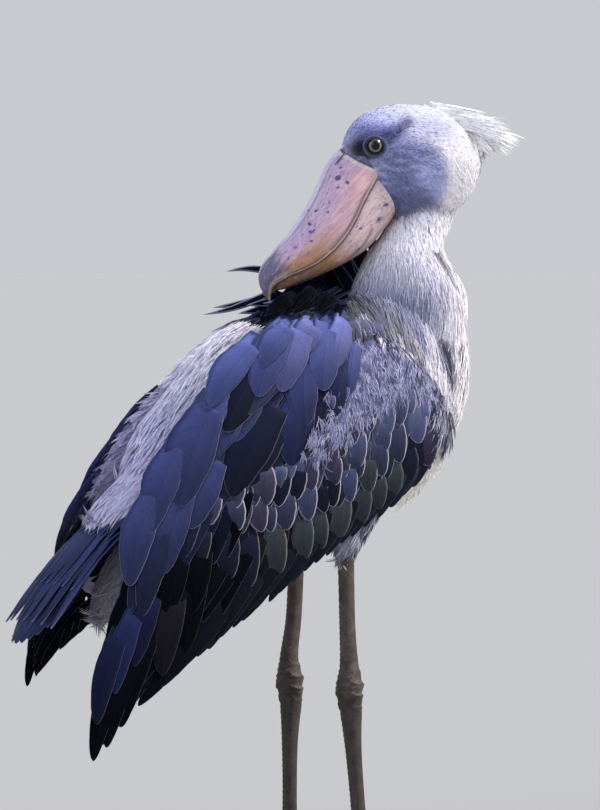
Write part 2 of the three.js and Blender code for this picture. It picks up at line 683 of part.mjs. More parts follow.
function makeBird() {
  const bird = new THREE.Group();
  const add = (name, made, material) => bird.add(meshOf(name, largest(made), material));

  const torsoRoom = makeTorso(GAP);
  const headRoom = headBall(12, FACET.head, GAP);
  const neckRoom = neckForm.solid(13, FACET.neck, PLUME_SPACE);
  const neckSpace = neckForm.solid(13, FACET.neck, PLUME_SPACE - GAP);
  add("torso", makeTorso(0), MATERIALS.plumage);
  const neck = joined([neckForm.solid(13, FACET.neck, 0), ...neckPlumes()]).intersect(neckSpace);
  add("neck", neck.subtract(torsoRoom).subtract(headRoom), MATERIALS.plumage);

  const face = makeHead();
  add("head", face.head, MATERIALS.plumage);
  add("eye_left", face.eye_left, MATERIALS.eye);
  add("eye_right", face.eye_right, MATERIALS.eye);
  add("bill_upper", makeUpperBill().subtract(headRoom), MATERIALS.bill);
  add("bill_lower", makeLowerBill().subtract(headRoom).subtract(neckRoom), MATERIALS.bill);

  for (const [name, pose] of Object.entries(WING_POSES)) {
    const thighRoom = legForms(LEGS[name]).thigh.solid(7, 12, GAP);
    add("wing_" + name, makeWing(pose).subtract(joined([torsoRoom, neckRoom, thighRoom])), MATERIALS.slate);
  }
  add("tail", makeTail().subtract(torsoRoom), MATERIALS.tail);

  const floor = floorCutter();
  for (const [name, leg] of Object.entries(LEGS)) {
    const { thigh, shank } = legForms(leg);
    const shankRoom = shank.solid(16, FACET.limb, GAP);
    add("thigh_" + name, thigh.solid(7, 12).subtract(torsoRoom).subtract(shankRoom), MATERIALS.plumage);
    add("leg_" + name, shank.solid(16, FACET.limb), MATERIALS.leg);
    const toes = TOES.map((toe) => makeToe(leg, toe));
    const claws = TOES.map((toe) => makeClaw(leg, toe, GAP));
    const foot = joined(toes).subtract(joined([...claws, shankRoom, floor]));
    add("foot_" + name, foot, MATERIALS.leg);
    for (const toe of TOES) {
      const claw = makeClaw(leg, toe, 0).subtract(floor);
      add("claw_" + name + "_" + toe[0], claw, MATERIALS.claw);
    }
  }
  bird.position.copy(BIRD_PLACE);
  return bird;
}

export default makeBird();
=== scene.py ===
# A life-size shoebill standing on both feet, its head turned back over its left shoulder to preen.
# Shapes are worked out in millimetres in the part's own frame, and become metres in the meshes.
import math

import bpy
import numpy as np
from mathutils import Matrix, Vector


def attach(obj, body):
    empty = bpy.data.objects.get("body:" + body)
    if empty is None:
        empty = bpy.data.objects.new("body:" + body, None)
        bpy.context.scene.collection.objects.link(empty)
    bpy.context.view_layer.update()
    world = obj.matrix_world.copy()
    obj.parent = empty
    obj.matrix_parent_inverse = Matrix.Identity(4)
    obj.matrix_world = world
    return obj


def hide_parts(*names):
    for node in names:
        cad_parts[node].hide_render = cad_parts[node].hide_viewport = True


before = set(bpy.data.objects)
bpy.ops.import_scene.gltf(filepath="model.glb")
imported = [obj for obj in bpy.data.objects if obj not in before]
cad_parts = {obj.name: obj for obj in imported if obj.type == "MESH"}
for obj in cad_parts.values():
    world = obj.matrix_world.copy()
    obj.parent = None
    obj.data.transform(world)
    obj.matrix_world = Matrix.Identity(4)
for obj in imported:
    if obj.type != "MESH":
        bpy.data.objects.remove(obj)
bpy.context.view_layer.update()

rng = np.random.default_rng(11)
# Where the shapes' own origin lies in the part's frame
PLACE = np.array([59.9, -7.8, 0.0])
# The photo: a pixel's size in mm, the pixel where it shows the shapes' origin, and its view's turn
PIXEL, ORIGIN_COLUMN, ORIGIN_ROW = 1.29, 300, 876
VIEW_COS, VIEW_SIN = 0.866, 0.5
RIGHT, LEFT = -1, 1

# The same named sizes as the solids have
TORSO = [
    [-302, 462, 12, 12, 24],
    [-276, 474, 28, 32, 44],
    [-222, 492, 54, 68, 64],
    [-146, 516, 95, 100, 92],
    [-52, 558, 134, 126, 114],
    [46, 614, 143, 144, 120],
    [122, 680, 104, 126, 102],
    [156, 742, 62, 66, 66],
]
VENT = [[-170, 466, 44, 52, 58], [-226, 416, 44, 48, 52], [-270, 370, 34, 34, 40], [-296, 342, 13, 13, 18]]
NECK = [
    [134, 0, 596, 60, 90, 88],
    [147, 0, 645, 76, 91, 90],
    [157, -1, 690, 84, 86, 84],
    [162, -2, 728, 82, 79, 80],
    [161, -3, 762, 76, 74, 75],
    [162, -4, 793, 62, 60, 61],
    [168, -5, 824, 46, 46, 46],
    [182, -5, 862, 42, 50, 44],
    [190, -5, 905, 42, 46, 44],
]
HEAD_CENTRE = np.array([183.0, -5.0, 924.0])
HEAD_TURN = math.radians(160)
HEAD_RADII = [80, 80, 77, 75, 87, 108, 111, 94, 88, 78, 82, 80]
HEAD_HALF_WIDTH = 56
EYE = {"forward": 73.5, "up": 18.3, "side": 41.0, "radius": 13.0, "opening": 8.4}
BILL_ROOT = (76, -39)
BILL_DROOP = math.radians(44.2)
BILL_EDGE = [
    [-34, 10.5], [-8, 4.5], [16, -2], [40, -11], [65, -18], [90, -20.5],
    [115, -18.5], [135, -13], [152, -6.5], [167, -3], [179, -4], [192, -14],
]
UPPER_BILL = [
    [-34, 62, 42], [-8, 63, 48], [16, 60.5, 51.5], [40, 51, 52.5], [65, 42, 52], [90, 35.5, 50], [115, 31, 46],
    [135, 29.5, 40], [152, 28.5, 33], [167, 26, 24], [179, 20, 14], [187, 10, 8], [192, -4, 3],
]
LOWER_BILL = [
    [-34, -34, 38], [0, -47, 47], [26, -51, 49.5], [54, -53, 50], [80, -48, 48],
    [105, -41, 44], [130, -32, 37], [150, -24, 28], [166, -17, 18], [178, -9, 7],
]
UPPER_SECTION = [
    [1, 0], [1, 0.16], [0.98, 0.33], [0.91, 0.5], [0.78, 0.65], [0.6, 0.77],
    [0.42, 0.84], [0.27, 0.86], [0.2, 0.92], [0.1, 0.99], [0, 1],
]
LOWER_SECTION = [[1, 0], [1, 0.25], [0.96, 0.5], [0.86, 0.75], [0.64, 0.93], [0.34, 1], [0, 1]]
WRIST = (148.0, 550.0)
WING_SLOPE = math.radians(37)
WING = [
    [-40, 46, 110, 118, 24], [-14, 8, 184, 131, 32], [36, -17, 246, 137, 35], [107, -13, 264, 138, 31],
    [197, -6, 260, 131, 24], [301, 4, 235, 121, 17], [390, 18, 190, 115, 10], [450, 44, 130, 112, 6],
]
WING_TIP = (640.0, 106.0)
WING_CURL = (0.0033, 0.0021)
WINGS = {"right": (RIGHT, 1.0, 0.0), "left": (LEFT, 0.74, 50.0)}
TAIL_ROOT = np.array([-256.0, 0.0, 492.0])
TAIL_DROOP = math.radians(47.5)
TAIL = {
    "bend": 9, "count": 12, "length": 236, "half": 20, "root_spread": 4, "tip_spread": 8.4, "step": 2.3, "fall": 1.7,
}
LEG_OUT = 65
LEGS = {
    "right": {"side": RIGHT, "top": 30, "ankle": 36, "foot": 55, "yaw": 5},
    "left": {"side": LEFT, "top": 33, "ankle": 22, "foot": 22, "yaw": 12},
}
THIGH_END, ANKLE_HEIGHT, FOOT_HEIGHT = 408, 240, 16
TOES = {"inner": (-26, 126, 3), "middle": (0, 160, 4), "outer": (28, 138, 5), "hind": (172, 82, 2)}
TOE = {"root": 8.5, "tip": 5.5, "flat": 0.9}
CLAW = {"length": 26, "root": 4.2, "tip": 0.7, "drop": 4.5}


# Small vector tools
def unit(v):
    return v / np.maximum(np.linalg.norm(v, axis=-1, keepdims=True), 1e-9)


def mix(a, b, t):
    return a + (b - a) * t


def smooth(x, low, high):
    t = np.clip((x - low) / (high - low), 0, 1)
    return t * t * (3 - 2 * t)


def power(v, e):
    return np.sign(v) * np.abs(v) ** e


def linear(colour):
    """A colour given as it looks on a screen, 0 to 255, as linear light."""
    c = np.asarray(colour, float) / 255
    return np.where(c < 0.04045, c / 12.92, ((c + 0.055) / 1.055) ** 2.4)


def photo_across(x, y):
    """How far to the right of the origin the photo shows a point at that x and y."""
    return VIEW_COS * x - VIEW_SIN * y


def seen_at(column, row, y):
    """The point at a depth y that the photo shows in that column and row."""
    across, z = (column - ORIGIN_COLUMN) * PIXEL, (ORIGIN_ROW - row) * PIXEL
    return np.array([(across + VIEW_SIN * y) / VIEW_COS, y, z])


class Stations:
    """A smooth curve through rows of numbers; each column is a curve of its own."""

    def __init__(self, rows):
        self.rows = np.array(rows, float)
        self.table = None

    def at(self, t):
        rows, n = self.rows, len(self.rows) - 1
        place = np.clip(np.asarray(t, float), 0, 1) * n
        i = np.minimum(place.astype(int), n - 1)
        u = (place - i)[..., None]
        p, q, r, s = rows[np.maximum(i - 1, 0)], rows[i], rows[i + 1], rows[np.minimum(i + 2, n)]
        a, b, d = (r - p) / 2, (s - q) / 2, r - q
        return q + u * (a + u * (3 * d - 2 * a - b + u * (a + b - 2 * d)))

    def where(self, x):
        if self.table is None:
            t = np.linspace(0, 1, 1601)
            self.table = t, self.at(t)[:, 0]
        return self.at(np.interp(x, self.table[1], self.table[0]))


def round_end(t, share):
    near = np.minimum(np.minimum(t, 1 - t) / share, 1)
    return np.maximum(np.sqrt(np.maximum(1 - (1 - near) ** 2, 0)), 0.03)


class Form:
    """A rounded form along stations [x, y, z, back, front, lateral]."""

    def __init__(self, rows, round_share, squareness=1.0):
        self.stations = Stations(rows)
        self.share, self.squareness = round_share, squareness

    def axes(self, t):
        a, b = self.stations.at(np.maximum(t - 0.01, 0)), self.stations.at(np.minimum(t + 0.01, 1))
        along = unit((b - a)[..., :3])
        back = unit(np.cross(along, np.array([0.0, 1.0, 0.0])))
        return along, back, unit(np.cross(back, along))

    def point(self, t, c, s, grow=0.0):
        st = self.stations.at(t)
        along, back, across = self.axes(t)
        end = round_end(t, self.share)
        reach = np.where(c > 0, st[..., 3], st[..., 4])
        full = power(c, self.squareness) * np.maximum(reach + grow, 1) * end
        wide = power(s, self.squareness) * np.maximum(st[..., 5] + grow, 1) * end
        out = st[..., :3] + back * full[..., None] + across * wide[..., None]
        return out + along * (np.sign(t - 0.5) * grow * (1 - end))[..., None]

    def unwrap(self, points):
        """Where points lie along and round the form, each from 0 to 1."""
        t = np.linspace(0, 1, 60)
        line = self.stations.at(t)[:, :3]
        near = np.argmin(((points[:, None, :] - line[None]) ** 2).sum(2), axis=1)
        _, back, across = self.axes(t[near])
        off = points - line[near]
        turn = np.arctan2((off * across).sum(1), (off * back).sum(1)) / (2 * math.pi) + 0.5
        along = unit(self.axes(t[near])[0])
        step = (off * along).sum(1) / np.linalg.norm(line[-1] - line[0])
        return np.clip(t[near] + step, 0, 1), turn


def in_middle(rows):
    return [[x, 0, z, *radii] for x, z, *radii in rows]


torso_form = Form(in_middle(TORSO), 0.12, 0.88)
vent_form = Form(in_middle(VENT), 0.2)
neck_form = Form(NECK, 0.08)


def spine_at(x):
    """The torso's station at that x: its middle line, and how far it reaches up, down and out."""
    return torso_form.stations.where(np.clip(x, -300, 155))


def thigh_form(leg):
    y = leg["side"] * LEG_OUT
    return Form(
        [
            [leg["top"] + 14, y * 0.86, 545, 62, 58, 38],
            [leg["top"] + 8, y * 0.92, 492, 54, 50, 33],
            [leg["top"] + 2, y, 445, 33, 31, 24],
            [leg["top"], y, THIGH_END, 13, 13, 12],
        ],
        0.12,
    )


def shank_form(leg):
    y = leg["side"] * LEG_OUT
    return Form(
        [
            [leg["top"], y, THIGH_END + 30, 11, 11, 10],
            [mix(leg["top"], leg["ankle"], 0.4), y, 335, 10.5, 10.5, 9.5],
            [leg["ankle"] - 1, y, ANKLE_HEIGHT + 38, 12.5, 12, 11],
            [leg["ankle"], y, ANKLE_HEIGHT + 6, 18.5, 17, 15.5],
            [leg["ankle"] + 1, y, ANKLE_HEIGHT - 20, 16, 14, 13.5],
            [mix(leg["ankle"], leg["foot"], 0.3), y, 165, 11, 10.5, 10],
            [mix(leg["ankle"], leg["foot"], 0.65), y, 95, 9.5, 9.5, 9],
            [mix(leg["ankle"], leg["foot"], 0.9), y, 42, 10.5, 10.5, 11],
            [leg["foot"], y, FOOT_HEIGHT, 11, 12, 13],
        ],
        0.03,
    )


thigh_forms = {name: thigh_form(leg) for name, leg in LEGS.items()}

head_forward = np.array([math.cos(HEAD_TURN), math.sin(HEAD_TURN), 0.0])
head_left = np.array([-math.sin(HEAD_TURN), math.cos(HEAD_TURN), 0.0])
UP = np.array([0.0, 0.0, 1.0])
head_outline = Stations([[r] for r in HEAD_RADII + HEAD_RADII[:1]])


def head_point(forward, up, side):
    f, u, s = (np.asarray(v, float)[..., None] for v in (forward, up, side))
    return HEAD_CENTRE + f * head_forward + u * UP + s * head_left


def head_local(points):
    """Forward, up and side of points, seen from the middle of the head."""
    d = points - HEAD_CENTRE
    return d @ head_forward, d[..., 2], d @ head_left


def head_surface(turn, tilt, grow):
    share = np.mod(turn / (2 * math.pi), 1)
    facing = np.maximum(np.cos(turn - math.radians(205)), 0)
    blunt = 2 / (2.2 + facing)
    narrow = 1 - 0.2 * np.maximum(np.sin(turn), 0) * np.cos(tilt)
    r = (head_outline.at(share)[..., 0] + grow) * np.abs(np.cos(tilt)) ** blunt
    w = (HEAD_HALF_WIDTH * narrow + grow) * power(np.sin(tilt), blunt)
    return head_point(-np.cos(turn) * r, np.sin(turn) * r, w)


def bill_point(along, height, side):
    c, s = math.cos(BILL_DROOP), math.sin(BILL_DROOP)
    return head_point(BILL_ROOT[0] + along * c + height * s, BILL_ROOT[1] - along * s + height * c, side)


def bill_local(points):
    f, u, w = head_local(points)
    c, s = math.cos(BILL_DROOP), math.sin(BILL_DROOP)
    f, u = f - BILL_ROOT[0], u - BILL_ROOT[1]
    return f * c - u * s, f * s + u * c, w


bill_edge, upper_bill, lower_bill = Stations(BILL_EDGE), Stations(UPPER_BILL), Stations(LOWER_BILL)
wing_stations = Stations(WING)


def wing_height(x, y):
    st = wing_stations.where(np.minimum(x, WING[-1][0]))
    past = np.clip((x - WING[-1][0]) / (WING_TIP[0] - WING[-1][0]), 0, 1)
    off = y - mix((st[..., 1] + st[..., 2]) / 2, 0, past)
    curl = np.where(off > 0, WING_CURL[0], WING_CURL[1])
    return mix(st[..., 3], WING_TIP[1], past) - curl * off * off


def wing_point(wing, x, y, out):
    side, reach, tucked = WINGS[wing]
    drawn = np.where(x > 400, 400 + (x - 400) * reach, x)
    across = y + tucked * smooth(x, 140, 400) * np.maximum(1 - y / 200, 0)
    c, s = math.cos(WING_SLOPE), math.sin(WING_SLOPE)
    return np.stack([WRIST[0] - c * drawn - s * across, side * out, WRIST[1] - s * drawn + c * across], -1)


def wing_local(points):
    c, s = math.cos(WING_SLOPE), math.sin(WING_SLOPE)
    a, b = WRIST[0] - points[..., 0], points[..., 2] - WRIST[1]
    return c * a - s * b, s * a + c * b


neck_heights = Stations([[z, x, back, front, lateral] for x, _, z, back, front, lateral in NECK])


def body_side(x, z):
    """How far out the torso or the neck reaches at that x and z."""
    st = spine_at(x)
    off = (z - st[..., 2]) / np.where(z > st[..., 2], st[..., 3], st[..., 4])
    torso = st[..., 5] * np.maximum(1 - np.abs(off) ** 2.27, 0) ** 0.44 * (x < 155)
    st = neck_heights.where(np.clip(z, 600, 900))
    off = (x - st[..., 1]) / np.where(x < st[..., 1], st[..., 2], st[..., 3])
    neck = st[..., 4] * np.sqrt(np.maximum(1 - off * off, 0)) * (z > 600)
    return np.maximum(torso, neck)


def over_body(points, side, clear):
    """Points of a wing's feathers moved out where they would lie in the torso or the neck."""
    y = np.maximum(side * points[..., 1], body_side(points[..., 0], points[..., 2]) + clear)
    return np.stack([points[..., 0], side * y, points[..., 2]], -1)


def wing_arm(wing, grow=0.0):
    def place(t, c, s):
        st = wing_stations.at(t)
        end = round_end(t, 0.08)
        y = (st[..., 1] + st[..., 2]) / 2 + power(c, 0.7) * ((st[..., 2] - st[..., 1]) * 0.5 + grow) * end
        depth = st[..., 4] * (1 - power(s, 0.2)) * 0.5
        return wing_point(wing, st[..., 0], y, wing_height(st[..., 0], y) - depth + np.sign(s) * grow)

    return place


tail_along = np.array([-math.cos(TAIL_DROOP), 0.0, -math.sin(TAIL_DROOP)])
tail_up = np.array([-math.sin(TAIL_DROOP), 0.0, math.cos(TAIL_DROOP)])


def tail_point(far, height, y):
    u = far / TAIL["length"]
    lift = height + TAIL["bend"] * 4 * u * (1 - u)
    return TAIL_ROOT + far[..., None] * tail_along + y[..., None] * np.array([0.0, 1, 0]) + lift[..., None] * tail_up


# Meshes
def grid_faces(rows, columns, wrap):
    r = np.arange(rows - 1)[:, None] * columns
    c = np.arange(columns if wrap else columns - 1)[None]
    n = (c + 1) % columns
    return np.stack([r + c, r + n, r + columns + n, r + columns + c], -1).reshape(-1, 4)


def tube(place, steps, sides, crowded=True):
    """A closed tube: place(t, c, s) is the point at t along it, in the direction c, s across it."""
    t = np.linspace(0, 1, steps + 1)
    if crowded:
        t = t - 0.6 * np.sin(2 * math.pi * t) / (2 * math.pi)
    a = np.linspace(0, 2 * math.pi, sides, endpoint=False)
    tt, aa = np.meshgrid(t, a, indexing="ij")
    body = place(tt, np.cos(aa), np.sin(aa)).reshape(-1, 3)
    ends = np.stack([body[:sides].mean(0), body[-sides:].mean(0)])
    quads = grid_faces(steps + 1, sides, True)
    k = np.arange(sides)
    first = np.stack([np.full(sides, len(body)), (k + 1) % sides, k], -1)
    last = np.stack([np.full(sides, len(body) + 1), steps * sides + k, steps * sides + (k + 1) % sides], -1)
    return np.vstack([body, ends]), [quads, np.vstack([first, last])]


class Pile:
    """Meshes gathered into one, with their colours and other values at each point."""

    def __init__(self):
        self.points, self.faces, self.values, self.uv, self.count = [], [], {}, [], 0

    def add(self, points, faces, uv=None, **values):
        points = points.reshape(-1, 3)
        for f in faces if isinstance(faces, list) else [faces]:
            self.faces.append(f + self.count)
        self.points.append(points)
        for key, value in values.items():
            width = np.shape(value)[-1]
            self.values.setdefault(key, []).append(np.broadcast_to(value, (len(points), width)))
        if uv is not None:
            self.uv.append(uv.reshape(-1, 2))
        self.count += len(points)

    def build(self, name, material, smooth_faces=True):
        mesh = bpy.data.meshes.new(name)
        points = (np.vstack(self.points) + PLACE) / 1000
        mesh.vertices.add(len(points))
        mesh.vertices.foreach_set("co", points.astype(np.float32).ravel())
        corners = np.concatenate([f.ravel() for f in self.faces])
        sizes = np.concatenate([np.full(len(f), f.shape[1]) for f in self.faces])
        mesh.loops.add(len(corners))
        mesh.loops.foreach_set("vertex_index", corners.astype(np.int32))
        mesh.polygons.add(len(sizes))
        mesh.polygons.foreach_set("loop_start", (np.cumsum(sizes) - sizes).astype(np.int32))
        mesh.update(calc_edges=True)
        mesh.polygons.foreach_set("use_smooth", np.full(len(sizes), smooth_faces))
        for key, parts in self.values.items():
            value = np.vstack(parts)
            if value.shape[1] == 3:
                layer = mesh.attributes.new(key, "FLOAT_VECTOR", "POINT")
                layer.data.foreach_set("vector", value.astype(np.float32).ravel())
            else:
                layer = mesh.attributes.new(key, "FLOAT_COLOR", "POINT")
                layer.data.foreach_set("color", value.astype(np.float32).ravel())
        if self.uv:
            uv = np.vstack(self.uv)[corners]
            mesh.uv_layers.new(name="OFBake").data.foreach_set("uv", uv.astype(np.float32).ravel())
        obj = bpy.data.objects.new(name, mesh)
        bpy.context.scene.collection.objects.link(obj)
        mesh.materials.append(material)
        return obj


def finish_piece(obj, slot, *nodes):
    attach(obj, "root")
    if nodes:
        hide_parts(*nodes)
    return obj


# Materials
class Nodes:
    """A material's nodes, with one call for each kind."""

    def __init__(self, name):
        self.material = bpy.data.materials.new(name)
        self.material.use_nodes = True
        self.tree = self.material.node_tree
        self.shader = self.tree.nodes["Principled BSDF"]

    def put(self, socket, value):
        if isinstance(value, bpy.types.NodeSocket):
            self.tree.links.new(value, socket)
        elif value is not None:
            socket.default_value = value

    def add(self, kind, **settings):
        node = self.tree.nodes.new(kind)
        for key, value in settings.items():
            setattr(node, key, value)
        return node

    def attribute(self, name, output="Color"):
        return self.add("ShaderNodeAttribute", attribute_name=name).outputs[output]

    def math(self, kind, a, b=0.0, c=0.0):
        node = self.add("ShaderNodeMath", operation=kind)
        for socket, value in zip(node.inputs, (a, b, c)):
            self.put(socket, value)
        return node.outputs[0]

    def split(self, vector):
        node = self.add("ShaderNodeSeparateXYZ")
        self.put(node.inputs[0], vector)
        return node.outputs

    def join(self, x, y, z):
        node = self.add("ShaderNodeCombineXYZ")
        for socket, value in zip(node.inputs, (x, y, z)):
            self.put(socket, value)
        return node.outputs[0]

    def mix(self, share, a, b, kind="MIX"):
        node = self.add("ShaderNodeMix", data_type="RGBA", blend_type=kind)
        for key, value in (("Factor", share), ("A", a), ("B", b)):
            sockets = [s for s in node.inputs if s.name == key and s.enabled]
            self.put(sockets[0], (*value, 1) if isinstance(value, (tuple, list, np.ndarray)) else value)
        return [s for s in node.outputs if s.enabled][0]

    def ramp(self, value, low, high, to_low=0.0, to_high=1.0):
        node = self.add("ShaderNodeMapRange", interpolation_type="SMOOTHSTEP")
        for socket, v in zip(node.inputs, (value, low, high, to_low, to_high)):
            self.put(socket, v)
        return node.outputs[0]

    def noise(self, vector, scale, detail=3.0, rough=0.5, distortion=0.0):
        node = self.add("ShaderNodeTexNoise")
        self.put(node.inputs["Vector"], vector)
        for key, value in (("Scale", scale), ("Detail", detail), ("Roughness", rough), ("Distortion", distortion)):
            node.inputs[key].default_value = value
        return node.outputs["Fac"]

    def cells(self, vector, scale, feature="DISTANCE_TO_EDGE"):
        node = self.add("ShaderNodeTexVoronoi", feature=feature)
        self.put(node.inputs["Vector"], vector)
        node.inputs["Scale"].default_value = scale
        return node.outputs["Distance"]

    def place(self):
        return self.add("ShaderNodeTexCoord").outputs["Object"]

    def bump(self, height, distance, strength=1.0, before=None):
        node = self.add("ShaderNodeBump")
        node.inputs["Strength"].default_value = strength
        node.inputs["Distance"].default_value = distance
        self.put(node.inputs["Height"], height)
        self.put(node.inputs["Normal"], before)
        return node.outputs[0]

    def set(self, **values):
        for key, value in values.items():
            self.put(self.shader.inputs[key.replace("_", " ")], value)
        return self.material


def shade(n, colour, amount, low, high, value):
    """The colour made darker or lighter by that amount as the value goes from low to high."""
    return n.mix(1.0, colour, n.join(*(3 * [n.ramp(value, low, high, 1 - amount, 1 + amount)])), "MULTIPLY")


def fluff_material(name, sheen=0.35):
    """Down and small feathers: a matt tint with a fine grain."""
    n = Nodes(name)
    tint = n.attribute("tint")
    grain = n.noise(n.place(), 260.0, 3.0, 0.6)
    colour = shade(n, tint, 0.16, 0.25, 0.75, grain)
    n.set(Base_Color=colour, Roughness=0.85, Sheen_Weight=sheen, Sheen_Roughness=0.5, Specular_IOR_Level=0.25)
    return n.set(Normal=n.bump(grain, 0.0006, 0.5))


def skin_material(name):
    n = Nodes(name)
    colour = shade(n, n.attribute("tint"), 0.2, 0.3, 0.7, n.noise(n.place(), 140.0, 4.0, 0.6))
    fine = n.noise(n.place(), 500.0, 3.0)
    return n.set(Base_Color=colour, Roughness=0.9, Specular_IOR_Level=0.2, Normal=n.bump(fine, 0.0008, 0.6))


def vane_material(name, sheen, rough, gloss=0.14):
    """Feathers with a shaft, barbs and a pale rim: vane holds along, rim distance and across in mm."""
    n = Nodes(name)
    tint = n.attribute("tint")
    along, rim, across = n.split(n.attribute("vane", "Vector"))[:3]
    pale = n.attribute("pale")
    side = n.math("ABSOLUTE", across)
    barb = n.math("MULTIPLY_ADD", side, -1.25, along)
    lane = n.math("MULTIPLY", side, 0.03)
    clump = n.noise(n.join(n.math("MULTIPLY", barb, 0.3), lane, n.math("SIGN", across)), 1.0, 2.0, 0.5)
    fine = n.math("SINE", n.math("MULTIPLY", barb, 7.5))
    base = shade(n, tint, 0.13, 0.2, 0.8, clump)
    middle = n.math("MULTIPLY", n.ramp(rim, 1.5, 8.0), n.attribute("tint", "Alpha"))
    base = n.mix(n.math("MULTIPLY", middle, 0.75), base, n.mix(1.0, base, (0.35, 0.36, 0.42), "MULTIPLY"))
    width = n.attribute("pale", "Alpha")
    ragged = n.math("ADD", rim, n.math("MULTIPLY_ADD", clump, 0.8, -0.4))
    edge = n.ramp(n.math("DIVIDE", ragged, width), 0.7, 1.3, 0.9, 0.0)
    colour = n.mix(edge, base, pale)
    shaft = n.ramp(side, 0.2, 0.7, 1.0, 0.0)
    colour = n.mix(n.math("MULTIPLY", shaft, 0.15), colour, (0.02, 0.02, 0.028))
    height = n.math("ADD", n.math("MULTIPLY", fine, 0.2), n.math("MULTIPLY", clump, 0.5))
    height = n.math("MULTIPLY_ADD", shaft, 1.2, height)
    n.set(Base_Color=colour, Roughness=rough, Sheen_Weight=sheen, Sheen_Roughness=0.45, Specular_IOR_Level=gloss)
    return n.set(Normal=n.bump(height, 0.0004, 0.4))


def bill_material(name):
    """Horn: long streaks and blotches; horn holds along, height and side in mm."""
    n = Nodes(name)
    x, y, z = n.split(n.attribute("horn", "Vector"))[:3]

    def stretched(along, across):
        return n.join(n.math("MULTIPLY", x, along), n.math("MULTIPLY", y, across), n.math("MULTIPLY", z, across))

    streak = n.noise(stretched(0.028, 0.2), 1.0, 5.0, 0.6, 0.3)
    hair = n.noise(stretched(0.09, 0.9), 0.8, 4.0, 0.6)
    blots = n.noise(stretched(0.11, 0.2), 1.0, 4.0, 0.65, 0.8)
    colour = shade(n, n.attribute("tint"), 0.16, 0.3, 0.7, streak)
    colour = shade(n, colour, 0.12, 0.3, 0.7, hair)
    colour = n.mix(n.ramp(streak, 0.56, 0.7, 0.0, 0.35), colour, tuple(linear((232, 210, 200))))
    share = n.math("MULTIPLY_ADD", n.attribute("tint", "Alpha"), 0.36, blots)
    colour = n.mix(n.ramp(share, 0.64, 0.76, 0.0, 0.55), colour, tuple(linear((128, 116, 178))))
    colour = n.mix(n.ramp(share, 0.74, 0.82, 0.0, 0.85), colour, tuple(linear((62, 52, 104))))
    rough = n.ramp(hair, 0.3, 0.7, 0.4, 0.6)
    n.set(Base_Color=colour, Roughness=rough, Coat_Weight=0.08, Coat_Roughness=0.4, Subsurface_Weight=0.05)
    height = n.math("MULTIPLY_ADD", hair, 0.5, n.math("MULTIPLY_ADD", blots, -0.4, streak))
    return n.set(Normal=n.bump(height, 0.0014, 0.6))


def leg_material(name):
    n = Nodes(name)
    scale = n.cells(n.place(), 330.0)
    crack = n.ramp(scale, 0.0, 0.09, 0.0, 1.0)
    wide = n.noise(n.place(), 60.0, 4.0, 0.6)
    colour = shade(n, n.attribute("tint"), 0.4, 0.3, 0.7, wide)
    colour = n.mix(n.math("MULTIPLY", n.math("SUBTRACT", 1.0, crack), 0.6), colour, (0.012, 0.01, 0.009))
    n.set(Base_Color=colour, Roughness=n.ramp(wide, 0.3, 0.7, 0.55, 0.75), Specular_IOR_Level=0.4)
    return n.set(Normal=n.bump(crack, 0.0008, 0.8, n.bump(wide, 0.002, 0.4)))


def claw_material(name):
    n = Nodes(name)
    grain = n.noise(n.place(), 220.0, 4.0)
    colour = shade(n, n.attribute("tint"), 0.3, 0.3, 0.7, grain)
    return n.set(Base_Color=colour, Roughness=n.ramp(grain, 0.3, 0.7, 0.3, 0.5), Normal=n.bump(grain, 0.0004, 0.4))


def eye_material(name):
    """The iris with its rays: disc holds the distance from the eye's middle line, and the turn round it."""
    n = Nodes(name)
    far, ray, high = n.split(n.attribute("disc", "Vector"))[:3]
    rays = n.noise(n.join(n.math("MULTIPLY", ray, 6.0), n.math("MULTIPLY", far, 0.35), 0.0), 1.0, 4.0, 0.7)
    iris = n.mix(rays, tuple(linear((88, 88, 78))), tuple(linear((142, 143, 130))))
    iris = n.mix(n.ramp(far, 8.0, 9.0, 0.0, 0.9), iris, tuple(linear((40, 38, 34))))
    # Painted shadow of the upper lid over the top of the iris
    iris = n.mix(n.ramp(n.math("MULTIPLY", far, high), 1.5, 7.5, 0.0, 0.8), iris, (0.02, 0.019, 0.017))
    colour = n.mix(n.ramp(far, 5.5, 6.1, 1.0, 0.0), iris, (0.003, 0.003, 0.004))
    colour = n.mix(n.ramp(far, 9.2, 10.0, 0.0, 1.0), colour, (0.01, 0.009, 0.009))
    n.set(Base_Color=colour, Roughness=0.25, Specular_IOR_Level=0.2)
    return n.set(Coat_Weight=0.35, Coat_Roughness=0.04, Coat_IOR=1.35)


def floor_material(name):
    n = Nodes(name)
    grain = n.noise(n.place(), 40.0, 4.0)
    colour = n.mix(grain, (0.376, 0.376, 0.377), (0.386, 0.386, 0.387))
    return n.set(Base_Color=colour, Roughness=0.9, Specular_IOR_Level=0.1)


# Markings and painted shade, shared by the skin and the coat
TINTS = {
    "neck": (248, 243, 250), "pale": (252, 246, 250), "cap": (228, 230, 252), "cap_low": (206, 208, 254),
    "brow_shade": (124, 126, 188), "behind_brow": (206, 202, 230), "brow": (84, 86, 138), "lores_shadow": (66, 66, 80),
    "cheek": (150, 154, 202), "cheek_front": (112, 117, 156), "cheek_edge": (190, 194, 236),
    "cheek_low": (104, 108, 146), "neck_shade": (152, 154, 184), "neck_deep_shade": (78, 81, 104),
    "breast": (238, 232, 236), "saddle_shade": (44, 47, 68), "mantle": (246, 242, 255), "rump": (214, 208, 238),
    "belly": (160, 160, 180), "vent": (170, 166, 178), "thigh": (172, 170, 186), "under_wing_shade": (96, 98, 128),
    "black": (11, 13, 20),
}
TINTS = {name: linear(colour) for name, colour in TINTS.items()}
BLACK = TINTS["black"]


